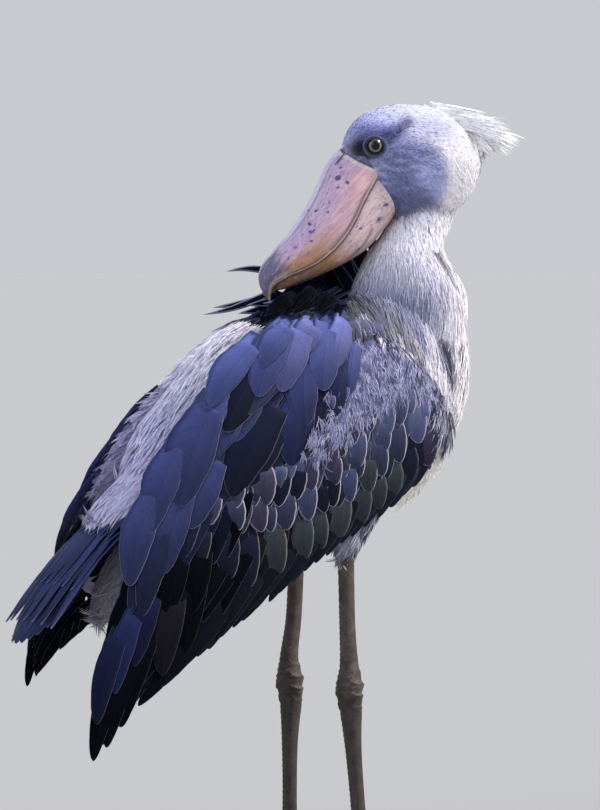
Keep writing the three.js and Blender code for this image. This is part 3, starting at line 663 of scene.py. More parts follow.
def spread(colour, points):
    return np.broadcast_to(colour, points.shape)


def layer(colours, colour, share):
    return mix(colours, TINTS[colour] if isinstance(colour, str) else colour, share[:, None])


def blot(a, b, centre, radii, soft):
    """1 inside an ellipse and 0 outside it, with a soft edge."""
    r = np.sqrt(((a - centre[0]) / radii[0]) ** 2 + ((b - centre[1]) / radii[1]) ** 2)
    return 1 - smooth(r, 1 - soft, 1 + soft)


def stroke(a, b, start, end, width):
    """1 on a line and less beside it."""
    start, end = np.array(start, float), np.array(end, float)
    d = end - start
    p = np.stack([a, b], -1) - start
    u = np.clip((p @ d) / (d @ d), 0, 1)
    far = np.linalg.norm(p - u[:, None] * d, axis=1)
    return np.exp(-((far / width) ** 2))


def ripple(points, size, seed):
    """Smooth noise from -1 to 1, made of sines in chosen directions."""
    g = np.random.default_rng(seed)
    total = 0
    for _ in range(5):
        way = unit(g.normal(size=3))
        total = total + np.sin(points @ way * (2 * math.pi / (size * g.uniform(0.7, 1.5))) + g.uniform(0, 6.28))
    return total / 3.2


def head_share(points):
    """1 on the head, fading to 0 down the throat and the nape."""
    f, u, _ = head_local(points)
    low = -62 - 24 * smooth(f, 0, 40) + 0.25 * f
    return smooth(u, low - 12, low + 10)


# Painted shadow in the dark gaps between the locks of the near side: across the photo's view, and z
SLITS = (
    ((166, 697), (165, 684)), ((164, 640), (165, 622)), ((181, 668), (186, 646)), ((172, 808), (188, 784)),
    ((104, 722), (103, 704)), ((120, 730), (119, 714)), ((144, 685), (146, 671)), ((179, 688), (178, 671)),
    ((181, 653), (182, 635)), ((86, 706), (84, 686)), ((132, 712), (134, 696)), ((156, 664), (160, 646)),
)
SLIT_WIDTH = 3.2


def torso_tint(points):
    x, y, z = points.T
    spine = spine_at(x)
    colour = layer(spread(TINTS["mantle"], points), "rump", smooth(-x, 60, 230))
    colour = layer(colour, "belly", smooth(spine[:, 2] - z, -10, 60))
    colour = layer(colour, "vent", smooth(-x, 150, 210) * smooth(485 - z, 0, 40))
    colour = layer(colour, "breast", smooth(x, 80, 150) * smooth(760 - z, 0, 50))
    colour = layer(colour, "thigh", smooth(x, -60, -20) * smooth(110 - x, 0, 30) * smooth(520 - z, 0, 50))
    # Painted shade on the body where the wing covers it, much weaker on the far side
    wx, wy = wing_local(points)
    st = wing_stations.where(wx)
    wing_cover_shade = smooth(wy, st[:, 1] - 2, st[:, 1] + 10) * smooth(st[:, 2] - wy, -2, 12) * smooth(np.abs(y), 70, 92)
    colour = layer(colour, "under_wing_shade", wing_cover_shade * smooth(wx, -16, 4) * (z < 760) * np.where(y > 0, 0.25, 1))
    # Painted shade on the top of the back behind the neck
    saddle_shade = smooth(z - spine[:, 2] - 0.62 * spine[:, 3], 0, 14) * smooth(x, -72, -46) * smooth(100 - x, 0, 30)
    return layer(colour, "saddle_shade", 0.95 * saddle_shade)


def add_neck(colour, points):
    """The neck's tint with painted shade on its lower left, the streaked collar with painted shade between its locks,
    and painted shadow in the dark gaps below it.
    """
    x, y, z = points.T
    tint = layer(spread(TINTS["neck"], points), "neck_shade", smooth(840 - z, 0, 100) * smooth(215 - x, 0, 80))
    tint = layer(tint, "neck_deep_shade", smooth(755 - z, 0, 50) * smooth(125 - x, 0, 50))
    colour = layer(colour, tint, smooth(z, 640, 740) * smooth(x, 40, 100))
    collar = smooth(x, 15, 60) * smooth(np.abs(y), 30, 62) * smooth(728 - z, 0, 40) * smooth(190 - x, 0, 30)
    streak = ripple(points * np.array([1, 1, 0.22]), 11, 3)
    colour = layer(colour, "neck_shade", 0.9 * collar)
    # Painted shade in the gaps between the collar's locks
    colour = layer(colour, TINTS["saddle_shade"] * 0.5, 0.9 * collar * smooth(streak, 0.1, 0.45))
    colour = layer(colour, "pale", 0.75 * collar * smooth(-streak, 0.25, 0.6))
    across = photo_across(x, y)
    # Painted shadow in the gaps between the locks
    slits = np.max([stroke(across, z, start, end, SLIT_WIDTH) for start, end in SLITS], axis=0)
    colour = layer(colour, TINTS["saddle_shade"] * 0.4, 0.9 * slits * smooth(-y, 0, 15))
    # Painted shade along the left edge of the neck, above the back
    neck_edge_shade = smooth(84 - across, 0, 14) * smooth(778 - z, 0, 26) * smooth(x, 10, 30) * smooth(z, 690, 705)
    return layer(colour, TINTS["saddle_shade"] * 0.6, 0.85 * neck_edge_shade * (y < 20))


# Patches of the face: tint, how strong, and an ellipse's middle, radii and softness, forward and up from the
# middle of the head. The first is painted shade under the brow
FACE_PATCHES = (
    ("brow_shade", 0.9, (66, 34), (34, 12), 0.6), ("behind_brow", 0.75, (2, 40), (34, 15), 0.5),
    ("cheek", 1, (32, -20), (49, 50), 0.22), ("cheek_edge", 0.55, (-4, -26), (16, 30), 0.6),
    ("cheek_edge", 0.5, (12, -12), (12, 12), 0.7), ("cheek_front", 0.9, (44, -14), (20, 26), 0.7),
    ("cheek_front", 0.6, (8, 13), (16, 8), 0.6),
)


def face_tint(points):
    f, u, _ = head_local(points)
    face = layer(spread(TINTS["pale"], points), "cap", smooth(u, 10, 55) * smooth(f, -60, 10))
    face = layer(face, "cap_low", smooth(f, 20, 60) * (1 - smooth(u, 52, 84)) * smooth(u, -5, 20))
    for tint, share, centre, radii, soft in FACE_PATCHES:
        face = layer(face, tint, share * blot(f, u, centre, radii, soft))
    rough = ripple(points * np.array([1, 1, 1.6]), 12, 6)
    patch = blot(f, u, (32, -22), (46, 46), 0.3)
    face = layer(face, "cheek_low", 0.6 * smooth(rough, 0.05, 0.7) * patch)
    face = layer(face, "cheek_edge", 0.4 * smooth(-rough, 0.1, 0.7) * patch)
    face = layer(face, "cheek_low", blot(f, u, (34, -62), (44, 24), 0.45))
    # Painted shadow under the brow: a broad band, and a thin darker line along it
    face = layer(face, "brow", 0.9 * stroke(f, u, (60, 31), (30, 50), 8))
    line = 0.8 * stroke(f, u, (56, 22), (42, 37), 3) + 0.6 * stroke(f, u, (42, 37), (27, 46), 3)
    face = layer(face, TINTS["brow"] * 0.55, line)
    # Painted shadow in front of the eye, darkest right next to it
    face = layer(face, "lores_shadow", blot(f, u, (86, 13), (19, 18), 0.45))
    face = layer(face, "black", 0.8 * blot(f, u, (88, 17), (9, 7), 0.5))
    speck = smooth(ripple(points, 9, 5), 0.15, 0.7) * smooth(f, -10, 40) * smooth(u, 0, 30)
    return layer(face, "brow", 0.32 * speck)


def markings_and_shade(points):
    return layer(add_neck(torso_tint(points), points), face_tint(points), head_share(points))


# The way the feathers lie at a few places, alike on both sides and blended between them. On the head: forward, up
# and side from its middle, with the way forward and up. On the body: x, y and z, with the way along x and z
HEAD_LIE = (
    (100, 40, 12, -0.55, 0.85), (60, 95, 16, -0.95, 0.3), (0, 108, 14, -1, 0), (-55, 60, 16, -0.75, -0.45),
    (-78, 0, 12, -0.2, -1), (80, 0, 44, -1, -0.1), (60, 45, 46, -1, 0.35), (15, 20, 54, -1, -0.15),
    (20, -40, 50, -0.8, -0.55), (-40, -10, 44, -0.6, -0.8), (40, -74, 14, -0.5, -0.85),
)
BODY_LIE = (
    (80, 50, 740, -0.05, -1), (235, 50, 740, -0.05, -1), (215, 50, 840, -0.05, -1), (140, 50, 850, -0.05, -1),
    (150, 50, 690, -0.05, -1), (230, 30, 660, -0.15, -1), (150, 90, 640, -0.35, -1), (50, 40, 745, -0.85, -0.45),
    (-60, 40, 690, -0.88, -0.47), (-150, 40, 600, -0.85, -0.52), (-240, 30, 545, -0.85, -0.52),
    (20, 115, 620, -0.8, -0.6), (60, 40, 480, -0.8, -0.45), (-90, 40, 440, -0.9, -0.35),
    (-230, 30, 410, -0.66, -0.75), (40, 65, 470, -0.12, -1),
)


def lie_anchors():
    places, ways = [], []
    for side in (RIGHT, LEFT):
        for forward, up, out, way_forward, way_up in HEAD_LIE:
            places.append(head_point(forward, up, side * out))
            ways.append(way_forward * head_forward + way_up * UP)
        for x, y, z, way_x, way_z in BODY_LIE:
            places.append((x, side * y, z))
            ways.append((way_x, 0, way_z))
    return np.array(places, float), unit(np.array(ways, float))


ANCHORS = lie_anchors()


def lie(points, normals):
    places, ways = ANCHORS
    far = ((points[:, None] - places[None]) ** 2).sum(2)
    weight = 1 / (far + 60) ** 2.2
    way = (weight[..., None] * ways[None]).sum(1) / weight.sum(1)[:, None]
    way = way - (way * normals).sum(1)[:, None] * normals
    return unit(way)


# How far the skin lies inside the coat, and the voxels that melt its forms into one
DEPTH = {"torso": -12, "vent": -12, "neck": -9, "head": -4, "thigh": -8, "wing": -5}
VOXEL = 0.004


def skin_forms():
    """The forms of flesh in one pile, each drawn in by the coat's depth."""

    def form_place(form, grow):
        return lambda t, c, s: form.point(t, c, s, grow)

    def head(t, c, s):
        tilt = math.pi * (np.clip(t, 0.012, 0.988) - 0.5)
        return head_surface(np.arctan2(s, c), tilt, DEPTH["head"])

    pile = Pile()
    pile.add(*tube(form_place(torso_form, DEPTH["torso"]), 40, 48))
    pile.add(*tube(form_place(vent_form, DEPTH["vent"]), 16, 28))
    pile.add(*tube(form_place(neck_form, DEPTH["neck"]), 36, 40))
    pile.add(*tube(head, 28, 48))
    for form in thigh_forms.values():
        pile.add(*tube(form_place(form, DEPTH["thigh"]), 16, 24))
    for wing in WINGS:
        pile.add(*tube(wing_arm(wing, DEPTH["wing"]), 26, 36))
    return pile


def mesh_points(mesh):
    points = np.empty(len(mesh.vertices) * 3, np.float32)
    mesh.vertices.foreach_get("co", points)
    return points.reshape(-1, 3).astype(float) * 1000 - PLACE


def swell(f, u, middle, radii):
    """A soft bump of 1 on the side of the face, forward and up from the middle of the head."""
    return np.exp(-(((f - middle[0]) / radii[0]) ** 2) - ((u - middle[1]) / radii[1]) ** 2)


def make_skin(material):
    rough = skin_forms().build("skin_forms", material)
    melt = rough.modifiers.new("melt", "REMESH")
    melt.mode, melt.voxel_size = "VOXEL", VOXEL
    soften = rough.modifiers.new("soften", "SMOOTH")
    soften.factor, soften.iterations = 0.5, 6
    mesh = bpy.data.meshes.new_from_object(rough.evaluated_get(bpy.context.evaluated_depsgraph_get()))
    bpy.data.objects.remove(rough)
    points = mesh_points(mesh)
    f, u, w = head_local(points)
    brow, cheek = swell(f + 0.5 * (u - 34), u, (66, 37), (20, 8)), swell(f, u, (30, -18), (30, 34))
    relief = 3.5 * brow + 2.0 * cheek - 4.5 * swell(f, u, (76, 16), (17, 13))
    points += (np.sign(w) * smooth(np.abs(w), 25, 42) * relief)[:, None] * head_left
    mesh.vertices.foreach_set("co", ((points + PLACE) / 1000).astype(np.float32).ravel())
    tint = mesh.attributes.new("tint", "FLOAT_COLOR", "POINT")
    colour = np.hstack([markings_and_shade(points) * 0.7, np.ones((len(points), 1))])
    tint.data.foreach_set("color", colour.astype(np.float32).ravel())
    mesh.materials.clear()
    mesh.materials.append(material)
    mesh.name = "body_skin"
    mesh.polygons.foreach_set("use_smooth", np.full(len(mesh.polygons), True))
    mesh.update()
    skin = bpy.data.objects.new("body_skin", mesh)
    bpy.context.scene.collection.objects.link(skin)
    return skin


class Surface:
    """The skin's triangles, for planting."""

    def __init__(self, obj):
        mesh = obj.data
        points = mesh_points(mesh)
        normals = np.empty(len(mesh.vertices) * 3, np.float32)
        mesh.vertices.foreach_get("normal", normals)
        mesh.calc_loop_triangles()
        corners = np.empty(len(mesh.loop_triangles) * 3, np.int32)
        mesh.loop_triangles.foreach_get("vertices", corners)
        corners = corners.reshape(-1, 3)
        self.corners = points[corners]
        self.normals = normals.reshape(-1, 3)[corners]
        cross = np.cross(self.corners[:, 1] - self.corners[:, 0], self.corners[:, 2] - self.corners[:, 0])
        self.area = np.linalg.norm(cross, axis=1) / 2
        self.middle = self.corners.mean(1)

    def plant(self, share, spacing):
        """Places about spacing apart where share is above 0, which also thins them."""
        keep = share > 0
        chance = self.area[keep] * share[keep]
        count = int(chance.sum() / spacing**2 * 3)
        pick = np.flatnonzero(keep)[rng.choice(keep.sum(), count, p=chance / chance.sum())]
        a, b = rng.random(count), rng.random(count)
        over = a + b > 1
        a[over], b[over] = 1 - a[over], 1 - b[over]
        weight = np.stack([1 - a - b, a, b], -1)[..., None]
        points = (self.corners[pick] * weight).sum(1)
        normals = unit((self.normals[pick] * weight).sum(1))
        cell = np.floor(points / (spacing * 1.1)).astype(np.int64)
        key = cell[:, 0] * 73856093 ^ cell[:, 1] * 19349663 ^ cell[:, 2] * 83492791
        first = np.unique(key, return_index=True)[1]
        return points[first], normals[first]


def body_share(points):
    """Where body feathers grow: not under the wings, in the bill or over the eyes."""
    wx, wy = wing_local(points)
    st = wing_stations.where(wx)
    top = st[:, 2] + np.where(points[:, 1] > 0, -62 * smooth(wx, 40, 110), 4 + 40 * smooth(wx, 200, 320))
    under = (wx > -14) & (wx < 480) & (wy > st[:, 1] + 6) & (wy < top) & (np.abs(points[:, 1]) > 62)
    under &= points[:, 2] < 800
    under |= (points[:, 0] < -80) & (np.abs(points[:, 1]) > 90)
    along, height, side = bill_local(points)
    st = upper_bill.where(np.clip(along, -34, 190))
    low = lower_bill.where(np.clip(along, -34, 177))[:, 1]
    bill = (along > -26) & (np.abs(side) < st[:, 2] - 1) & (height < st[:, 1] - 2) & (height > low + 2)
    f, u, w = head_local(points)
    eye = (np.hypot(f - EYE["forward"], u - EYE["up"]) < 11.5) & (np.abs(w) > 20)
    return ~(under | bill | eye)


# A tuft's patch on the map OFBake, and how wide a ribbon's is
PATCH, RIBBON_PATCH = 0.003, 0.0004


def tufts(pile, roots, normals, way, uv, colours, ribbons, length, half, fan, roll, root, base, lift, curve, vary,
          scale=1.0, root_shade=0.8, gather=0.0):
    """Tufts of thin ribbons that lie along the body: each ribbon has three steps and ends in a point."""
    size = n, k = len(roots), ribbons
    side = np.cross(normals, way)
    spread_out = rng.normal(0, 1, (*size, 1)) * fan
    ways = unit(way[:, None] + side[:, None] * spread_out + rng.normal(0, 0.03, (*size, 3)))
    lengths = length * rng.uniform(0.7, 1.15, (*size, 1)) * np.reshape(scale, (-1, 1, 1))
    half = half * rng.uniform(0.7, 1.2, (*size, 1))
    roll = rng.normal(0, roll, (*size, 1))
    out = normals[:, None]
    across = unit(np.cross(out, ways)) * np.cos(roll) + out * np.sin(roll)
    aside = side[:, None] * rng.normal(0, 1, (*size, 1)) * root
    start = roots[:, None] + aside + out * np.reshape(base, (-1, 1, 1))
    start = start + way[:, None] * rng.normal(0, 1, (*size, 1)) * root
    lift = lift * rng.uniform(0.5, 1.5, (*size, 1))
    dark = rng.normal(1, vary, (n, 1, 1)) * rng.normal(1, vary * 0.7, (*size, 1))
    rows, tints, uvs = [], [], []
    # Painted shade: each ribbon darker at its root and lighter towards its tip, for the depth of the coat
    for s, wide, depth_shading in ((0, 0.6, root_shade), (0.38, 1.0, 0.94), (0.74, 0.78, 1.04), (1.0, 0.0, 1.12)):
        rise = lift * lengths * (s - 0.75 * s * s) - (lengths * s) ** 2 / (2 * curve)
        centre = start + ways * lengths * s + out * rise - aside * np.reshape(gather, (-1, 1, 1)) * s
        spot = uv[:, None] + np.stack([np.full(size, s - 0.5), spread_out[..., 0] * 0.3], -1) * PATCH
        for e in (-1, 1) if wide else (0,):
            rows.append(centre + across * half * wide * e)
            tints.append(colours[:, None] * dark * depth_shading)
            uvs.append(spot + np.array([0, RIBBON_PATCH * e]))
    points = np.stack(rows, 2).reshape(-1, 3)
    tint = np.clip(np.stack(tints, 2).reshape(-1, 3), 0, 1)
    base = (np.arange(n * k) * len(rows))[:, None]
    quads = np.vstack([base + np.array([0, 1, 3, 2]), base + np.array([2, 3, 5, 4])])
    points_uv = np.clip(np.stack(uvs, 2).reshape(-1, 2), 0.001, 0.999)
    pile.add(points, [quads, base + np.array([4, 5, 6])], points_uv, tint=np.hstack([tint, np.ones((len(tint), 1))]))


def unwrap_head(points):
    f, u, w = head_local(points)
    return np.stack([np.arctan2(u, -f) / (2 * math.pi) + 0.5, np.clip(w / 130 + 0.5, 0.01, 0.99)], -1)


def unwrap_form(form, points):
    t, turn = form.unwrap(points)
    return np.stack([turn, t], -1) * 0.98 + 0.01


# Vanes on the wings and tail: grids in a flattened ring, so that they are closed
VANE_V = np.array([-1, -0.72, -0.38, -0.08, 0.08, 0.38, 0.72, 1])


def vane_grid(rows):
    """The u and v of each point of a vane's ring, and whether it is on top."""
    u = np.linspace(0, 1, rows)
    u = 1 - (1 - u) ** 1.5
    v = np.concatenate([VANE_V, [0.45, -0.45]])
    top = np.concatenate([np.ones(len(VANE_V)), np.zeros(2)])
    uu, vv = np.meshgrid(u, v, indexing="ij")
    return uu, vv, np.broadcast_to(top, uu.shape)


def vane_profile(u, blunt, sharp):
    """A vane's width: from blunt on it narrows to a tip that is round at a sharp of 0 and pointed at 1."""
    start = np.minimum(0.42 + 1.1 * u, 1)
    past = np.maximum(u - blunt, 0) / (1 - blunt)
    return start * np.maximum(1 - past ** mix(2.0, 1.7, sharp), 0) ** mix(0.5, 0.85, sharp)


ATLAS = 18


def atlas_uv(index, u, v):
    cell = np.array([index % ATLAS, (index // ATLAS) % ATLAS])
    spot = np.stack([0.08 + 0.84 * u, 0.5 + 0.42 * v], -1)
    return (cell + spot) / ATLAS


def vane(pile, place, length, half, rows, blunt, sharp, tint, pale, pale_width, index, wobble,
         core=0.3, light=1.15, slope=-0.1):
    """A feather: place(back, off, deep, u, v) is the point that far back from its tip, off its shaft and out."""
    u, v, top = vane_grid(rows)
    profile = vane_profile(u, blunt, sharp)
    rag = 1 + 0.02 * np.sin(u * 31 + wobble * 9) * smooth(u, 0.3, 0.7) + 0.012 * np.sin(u * 83 + wobble * 31)
    wide = half * np.maximum(profile * rag, 0.02)
    off = v * wide * np.where(v < 0, 0.88, 1.08)
    ridge = 0.5 * np.exp(-((v / 0.1) ** 2)) * (1 - 0.6 * u)
    deep = np.where(top > 0, 0.35 * (1 - v * v) + ridge, -0.35)
    points = place(length * (1 - u), off, deep, u, v)
    rim = wide * (1 - np.abs(v))
    values = np.stack([length * u + wobble * 50, rim, off], -1).reshape(-1, 3)
    # Painted light: lighter at the root and darker towards the tip, and lighter or darker from edge to edge by the
    # slope
    painted_light = (mix(light, 0.78, smooth(u, 0.25, 1.0)) * (1 + slope * v))[..., None]
    dark = (core * smooth(u, 0.35, 0.8))[..., None]
    colour = np.concatenate([np.clip(tint * painted_light, 0, 1), dark], -1).reshape(-1, 4)
    faces = grid_faces(rows, u.shape[1], True)
    pile.add(points, faces, atlas_uv(index, u, v), vane=values, tint=colour, pale=np.array([*pale, pale_width]))


def along_line(line, count):
    line = np.array(line, float)
    step = np.linalg.norm(np.diff(line, axis=0), axis=1)
    far = np.concatenate([[0], np.cumsum(step)])
    at = np.linspace(0, far[-1], count)
    return np.stack([np.interp(at, far, line[:, k]) for k in range(2)], -1)


# Each shade is partly the feather's own tone and partly painted light and shade: the lighter ones for feathers facing
# the light, the darker ones for feathers in shade
SHADES = {
    "blue": (68, 77, 126), "lilac": (84, 88, 136), "slate": (50, 57, 98), "navy": (36, 42, 78),
    "black": (21, 25, 46), "dusk": (58, 62, 88), "plum": (66, 62, 86), "grey_blue": (72, 79, 112),
    "pale_blue": (92, 99, 136), "grey": (58, 64, 70), "brown": (28, 26, 33), "night": (10, 12, 19),
    "deep": (26, 32, 58),
}
SHADES = {name: linear(colour) for name, colour in SHADES.items()}
CREAM, LAVENDER, HORN_GREY = linear((180, 177, 196)), linear((140, 146, 184)), linear((150, 152, 146))
CHARCOAL, NAVY, DUSK = linear((40, 44, 56)), linear((40, 46, 76)), linear((80, 84, 112))
SLATE, SLATE_DARK = linear((80, 89, 140)), linear((56, 64, 106))

# Rows of feathers: the line of their tips on the wing, how many, length, half width and angle below the wing's line
# at both ends, how far they stand off it, colours at both ends, the pale rim's width, and the shape of the tip
LESSER = dict(length=(34, 40), half=9, tint=(DUSK, DUSK), rim=1.0, rows=12, tip=(0.4, 0.4))
SCAPULAR = dict(rim=0.7, rows=16, tip=(0.42, 0.45))
ROWS = {
    "primaries": dict(
        line=[(484, 122), (512, 112), (545, 90), (574, 64), (594, 42), (608, 14)], count=12, length=(190, 230),
        half=12, aim=(18, 8), lift=0, tint=(BLACK, BLACK), rim=0.45, rows=24, tip=(0.6, 0.45)),
    "secondaries": dict(
        line=[(60, -14), (120, -14), (200, -8), (300, 0), (400, 8), (480, 18), (540, 18)], count=24,
        length=(90, 160), half=15, aim=(30, 7), lift=1.5, tint=(CHARCOAL, BLACK), rim=0.55, rows=20, tip=(0.5, 0.4)),
    "secondaries_high": dict(
        line=[(380, 40), (430, 50), (470, 58), (505, 66), (530, 74)], count=7, length=(130, 150), half=14,
        aim=(22, 12), lift=2.5, tint=(BLACK, BLACK), rim=0.5, rows=20, tip=(0.5, 0.45)),
    "tertials": dict(
        line=[(330, 96), (352, 100), (386, 112), (416, 122), (446, 128), (478, 122)], count=7, length=(120, 150),
        half=18, aim=(34, 16), lift=3, tint=(BLACK, NAVY), rim=0.5, rows=20, tip=(0.4, 0.5)),
    "greater": dict(
        line=[(60, -8), (100, -6), (157, -2), (184, 3), (239, 14), (277, 24), (319, 38), (337, 60), (365, 100)],
        count=16, length=(60, 92), half=13, aim=(58, 34), lift=1.6, tint=(BLACK, BLACK), rim=0.5, rows=16,
        tip=(0.45, 0.4)),
    "median_low": dict(
        line=[(10, 14), (40, 28), (94, 30), (122, 28), (151, 38), (177, 48), (244, 68), (296, 104)], count=16,
        length=(50, 62), half=13, aim=(62, 42), lift=3.4, tint=(CHARCOAL, CHARCOAL), rim=1.0, rows=14,
        tip=(0.45, 0.4)),
    "median_high": dict(
        line=[(0, 40), (30, 56), (60, 60), (100, 60), (154, 72), (204, 92), (249, 108), (290, 134)], count=15,
        length=(44, 54), half=13, aim=(64, 42), lift=4.6, tint=(DUSK, CHARCOAL), rim=1.2, rows=14, tip=(0.45, 0.4)),
    "marginal": dict(
        line=[(4, 14), (-4, 40), (-8, 76)], count=6, length=(40, 34), half=9, aim=(62, 56), lift=3,
        tint=(NAVY, DUSK), rim=0.8, rows=12, tip=(0.4, 0.5)),
    "lesser_a": dict(
        LESSER, line=[(-4, 66), (10, 82), (40, 88), (110, 88), (180, 108), (240, 128)], count=20, aim=(62, 40),
        lift=5.6),
    "lesser_b": dict(
        LESSER, line=[(-6, 92), (10, 106), (50, 112), (110, 112), (180, 126)], count=17, aim=(60, 40), lift=6),
    "lesser_c": dict(LESSER, line=[(-8, 118), (10, 134), (50, 140), (124, 140)], count=14, aim=(58, 40), lift=6.2),
    "lesser_d": dict(LESSER, line=[(-10, 146), (12, 162), (44, 168), (84, 166)], count=11, aim=(56, 40), lift=6),
    "lesser_e": dict(LESSER, line=[(-10, 172), (16, 190), (56, 196)], count=8, aim=(52, 40), lift=5.5),
    "scapular_a": dict(
        SCAPULAR, line=[(100, 146), (160, 132), (220, 132), (278, 142), (330, 148), (380, 150)], count=9,
        length=(100, 128), half=20, aim=(40, 26), lift=3.5, tint=(BLACK, NAVY)),
    "scapular_b": dict(
        SCAPULAR, line=[(90, 168), (150, 160), (220, 164), (300, 172), (352, 186)], count=7, length=(96, 124),
        half=22, aim=(34, 22), lift=4.5, tint=(NAVY, NAVY)),
    "scapular_c": dict(
        SCAPULAR, line=[(104, 194), (150, 196), (200, 202), (268, 202), (330, 204)], count=6, length=(86, 120),
        half=22, aim=(26, 16), lift=5.5, tint=(NAVY, SLATE_DARK)),
    "scapular_d": dict(
        SCAPULAR, line=[(116, 220), (170, 230), (240, 230), (296, 222)], count=5, length=(76, 110), half=20,
        aim=(18, 10), lift=6.5, tint=(SLATE_DARK, SLATE)),
    "scapular_e": dict(
        SCAPULAR, line=[(100, 234), (140, 242), (190, 244)], count=4, length=(60, 84), half=17, aim=(10, 6),
        lift=6.5, tint=(SLATE_DARK, SLATE), rim=0.4),
    "scapular_f": dict(
        SCAPULAR, line=[(50, 196), (80, 212), (120, 228), (170, 240)], count=7, length=(60, 78), half=18, aim=(18, 8),
        lift=6, tint=(SLATE_DARK, SLATE_DARK), rim=0.2),
}
